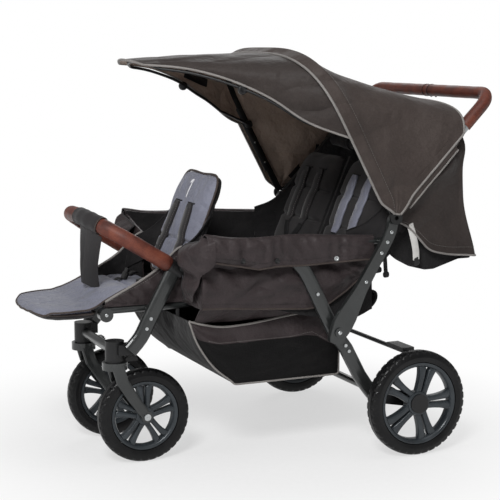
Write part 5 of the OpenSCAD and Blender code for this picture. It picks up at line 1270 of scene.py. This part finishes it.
front_height = shoulder("front_harness", front_axes, front_back, (-46, 46), 62, 196, "front_back", DARK_PAD, 1.5)
for e, side in SIDES:
    shoulder(f"rear_harness_{side}", rear_axes[e], rear_back[e], (-36, 52), 95, 250, f"rear_back_{side}",
             PAD if e > 0 else DARK_PAD)

# Buckles on the seats, and their webbing
clips = buckle((0, -690, 476), (1, 0, 0), (0, 0.4, 0.9), (0, -0.9, 0.4))
for x, y in ((-60, -660), (62, -665)):
    clips += buckle((x, y, 470), (0.9, 0.3, 0), (-0.3, 0.9, 0.2), (0, -0.1, 1), SMALL_BUCKLE)
webs = []
for x0, x1, y0, y1, z, across in ((0, 0, -720, -690, 466, (1, 0, 0)), (-60, -120, -660, -620, 464, (0.3, 1, 0)),
                                  (62, 122, -665, -622, 464, (0.3, 1, 0))):
    path = curve([(x0, y0, z), ((x0 + x1) / 2, (y0 + y1) / 2, z + 5), (x1, y1, z - 3)], 16)
    webs.append(strap_part(path, across, 22, 1.8))
for e, side in SIDES:
    x = e * REAR_X
    clips += buckle((x, -236, 512), (1, 0, 0), (0, 0.5, 0.85), (0, -0.85, 0.5))
    webs.append(strap_part(curve([(x, -262, 500), (x, -248, 506), (x, -236, 513)], 14), (1, 0, 0), 24, 1.8))
    for s in (-1, 1):
        clips += buckle((x + s * WAIST_X, -214, 507), (0.9, 0.2 * s, 0), (-0.2 * s, 0.9, 0.3), (0, -0.3, 1),
                        SMALL_BUCKLE)
        path = [(x + s * WAIST_X, -214, 506), (x + s * 96, -200, 504), (x + s * 118, -186, 496)]
        webs.append(strap_part(curve(path, 14), (0.3, 1, 0), 22, 1.8))
make("seat_buckles", clips, [PLASTIC], "frame")
make("seat_webbing", webs, [WEBBING], "frame")

# The numeral on the front backrest
bar = np.stack([np.full(16, -4.0), np.linspace(226, 280, 16)], 1)
flag = np.stack([np.linspace(-15, -4, 8), np.linspace(269, 279, 8)], 1)
parts = [strap_part(laid(front_axes, front_height, p, 0.9), across, w, 1.0)
         for p, across, w in ((bar, (1, 0, 0), 6.5), (flag, (0.7, 0, -0.7), 5.5))]
make("front_back_numeral", parts, [PRINT], "front_back")

# The crotch strap: a fabric sleeve round the bumper bar and two straps down to the seat
mid = bumper_path[55:85]
wrap = [tube_part(mid, 23.0 + 0.6 * np.sin(np.linspace(0, 20, 30)), 26)]
wrap += [tube_part(end, 23.7, 26, 1) for end in (mid[:2], mid[-2:])]
make("bumper_sleeve", wrap, [DARK_PAD, LIT_FABRIC], "bumper")
parts, s = [], column(44)
wide = np.interp(s, [0, 0.5, 1], [58, 46, 58])
for k, foot_x, lift in ((66, 4, 0.0), (58, 22, 3.4)):
    head, foot = bumper_path[k] - 22.5 * BUMP_UP, np.array([foot_x, -789.0 - lift, 457.0])
    path = curve([head, mix(head, foot, 0.35) - [0, 3, 0], mix(head, foot, 0.7) - [0, 4, 0], foot], 44)
    heading = mix(unit(bumper_path[k - 3] - bumper_path[k + 3]), np.array([0.86, 0.5, 0]), np.minimum(s * 2, 1))
    parts.append(strap_part(path, heading, wide[:, 0], 3.0))
    for c in (-1, 1):
        parts += stitch_parts(path + c * 0.36 * wide * heading - [0, 1.9, 0], mat=1)
crotch = make("crotch_strap", parts, [DARK_PAD, LIT_FABRIC])
spot(0, -788, 478)
spot(0, -826, 600)
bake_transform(crotch)

# Hanging straps and clips beside the rear legs, bolts and rivets
for e, side in SIDES:
    path = curve([(e * 322, 3, 618), (e * 323, 12, 590), (e * 322, 22, 552), (e * 320, 26, 520)], 30)
    make(f"drape_elastic_{side}", [strap_part(path, (0, 0.9, 0.4), 20, 1.6)], [WHITE], "handle")
    clip = buckle((e * 321, 26, 512), (0, 0.9, 0.3), (0, -0.1, 1), (1, 0, 0), (16, 24, 7))
    make(f"drape_clip_{side}", clip, [PLASTIC], "handle")
    parts = []
    for y, z0, z1, w in ((-84, 562, 506, 22), (-56, 576, 492, 12)):
        path = curve([(e * 299, y - 8, z0), (e * 301, y - 4, (z0 + z1) / 2), (e * 300, y, z1)], 16)
        parts.append(strap_part(path, (0, 1, 0), w, 1.8))
        parts += buckle((e * 300.5, y + 1, z1 - 10), (0, 1, 0.1), (0, -0.1, 1), (1, 0, 0), (w + 2, 26, 7))
    make(f"tub_straps_{side}", parts, [WEBBING], "frame")
    bolts = [dome_part((e * 353.8, y, z), (e, 0, 0), 5.0, 2.6)
             for y, z in ((-144, 476), (-99, 550), (-82, 578), (-70, 604))]
    make(f"plate_bolts_{side}", bolts, [STEEL], "handle")
    rivet = dome_part((e * 168.6, -797, 405), (e, 0, 0), 4.6, 2.4)
    make(f"leg_hinge_rivet_{side}", [rivet], [STEEL], "leg_rest")


# ---- camera, light and floor ----
AZ, PITCH = math.radians(66.17), math.radians(8.343)
WHITE_LIGHT = (1, 1, 1, 1)
SKY_LIGHT, SKY_MIRRORED = 0.17, 0.25  # the background's strength as light, and its share in reflections
FLOOR_NEAR, FLOOR_FAR, FLOOR_LIFT = 0.4, 1.15, 0.6  # where the floor turns white (m), and how far it is lifted before


def put(name, data, at, aim):
    """A camera or a lamp at a place, looking along aim."""
    ob = bpy.data.objects.new(name, data)
    ob.location = at
    ob.rotation_euler = Vector(aim).to_track_quat("-Z", "Y").to_euler()
    scene.collection.objects.link(ob)
    return ob


cam = bpy.data.cameras.new("camera")
cam.lens, cam.sensor_width = 100.5, 36
aim = (-math.sin(AZ) * math.cos(PITCH), math.cos(AZ) * math.cos(PITCH), -math.sin(PITCH))
scene.camera = put("camera", cam, (3.5330, -1.8816 + AXLE_Y / 1000, 1.0903), aim)

for name, at, size, power in (("key", (3.5, -2.4, 3.5), 1.2, 172), ("front", (0.6, -4.4, 1.5), 1.8, 26),
                              ("top", (0.8, 0.4, 4.4), 2.2, 26), ("rim", (-3.2, 1.6, 2.6), 2.0, 26)):
    lamp = bpy.data.lights.new(name, "AREA")
    lamp.size, lamp.energy = size, power
    put(name, lamp, at, Vector((0, 0, 0.5)) - Vector(at))


def rays(tree):
    """1 for the camera's own rays, and 1 for those by way of a reflection or through something clear."""
    ray = wire(tree, "LightPath", {}).node.outputs
    return ray["Is Camera Ray"], math_node(tree, "MAXIMUM", ray["Is Glossy Ray"], ray["Is Transmission Ray"])


world = bpy.data.worlds.new("studio")
world.use_nodes = True
scene.world = world
tree = world.node_tree
direct, mirrored = rays(tree)
seen = math_node(tree, "MAXIMUM", direct, math_node(tree, "MULTIPLY", mirrored, SKY_MIRRORED))
sky = tree.nodes["Background"].inputs
sky["Color"].default_value = WHITE_LIGHT
tree.links.new(wire(tree, "MapRange", {"Value": seen, "To Min": SKY_LIGHT}), sky["Strength"])

floor_look = look("studio_floor", ["#ececec", "#efefef", "#f2f2f2"], (2, 60), 0.5, (0.7, 0.85), [("noise", 40, 0.2)],
                  spec=0.1)
ground = np.linspace(-14000, 14000, 9)
make("floor", [sheet_part(xyz(ground[:, None], ground, 0.0), 20.0, (0, 0, -500), (0, 0))], [floor_look])

# To the camera and in reflections the floor is white further out, and lifted near the object so that its shadow stays
tree = floor_look.node_tree
reach = wire(tree, "VectorMath", {0: wire(tree, "TexCoord", {}, "Object")}, "Value", operation="LENGTH")
far = wire(tree, "MapRange", {"Value": reach, "From Min": FLOOR_NEAR, "From Max": FLOOR_FAR, "To Min": FLOOR_LIFT},
           interpolation_type="SMOOTHSTEP")
share = math_node(tree, "MULTIPLY", math_node(tree, "MAXIMUM", *rays(tree)), far)
glow = wire(tree, "Emission", {"Color": WHITE_LIGHT})
shown = wire(tree, "MixShader", {0: share, 1: tree.nodes["Principled BSDF"].outputs[0], 2: glow})
tree.links.new(shown, tree.nodes["Material Output"].inputs["Surface"])

scene.view_settings.view_transform = "Standard"
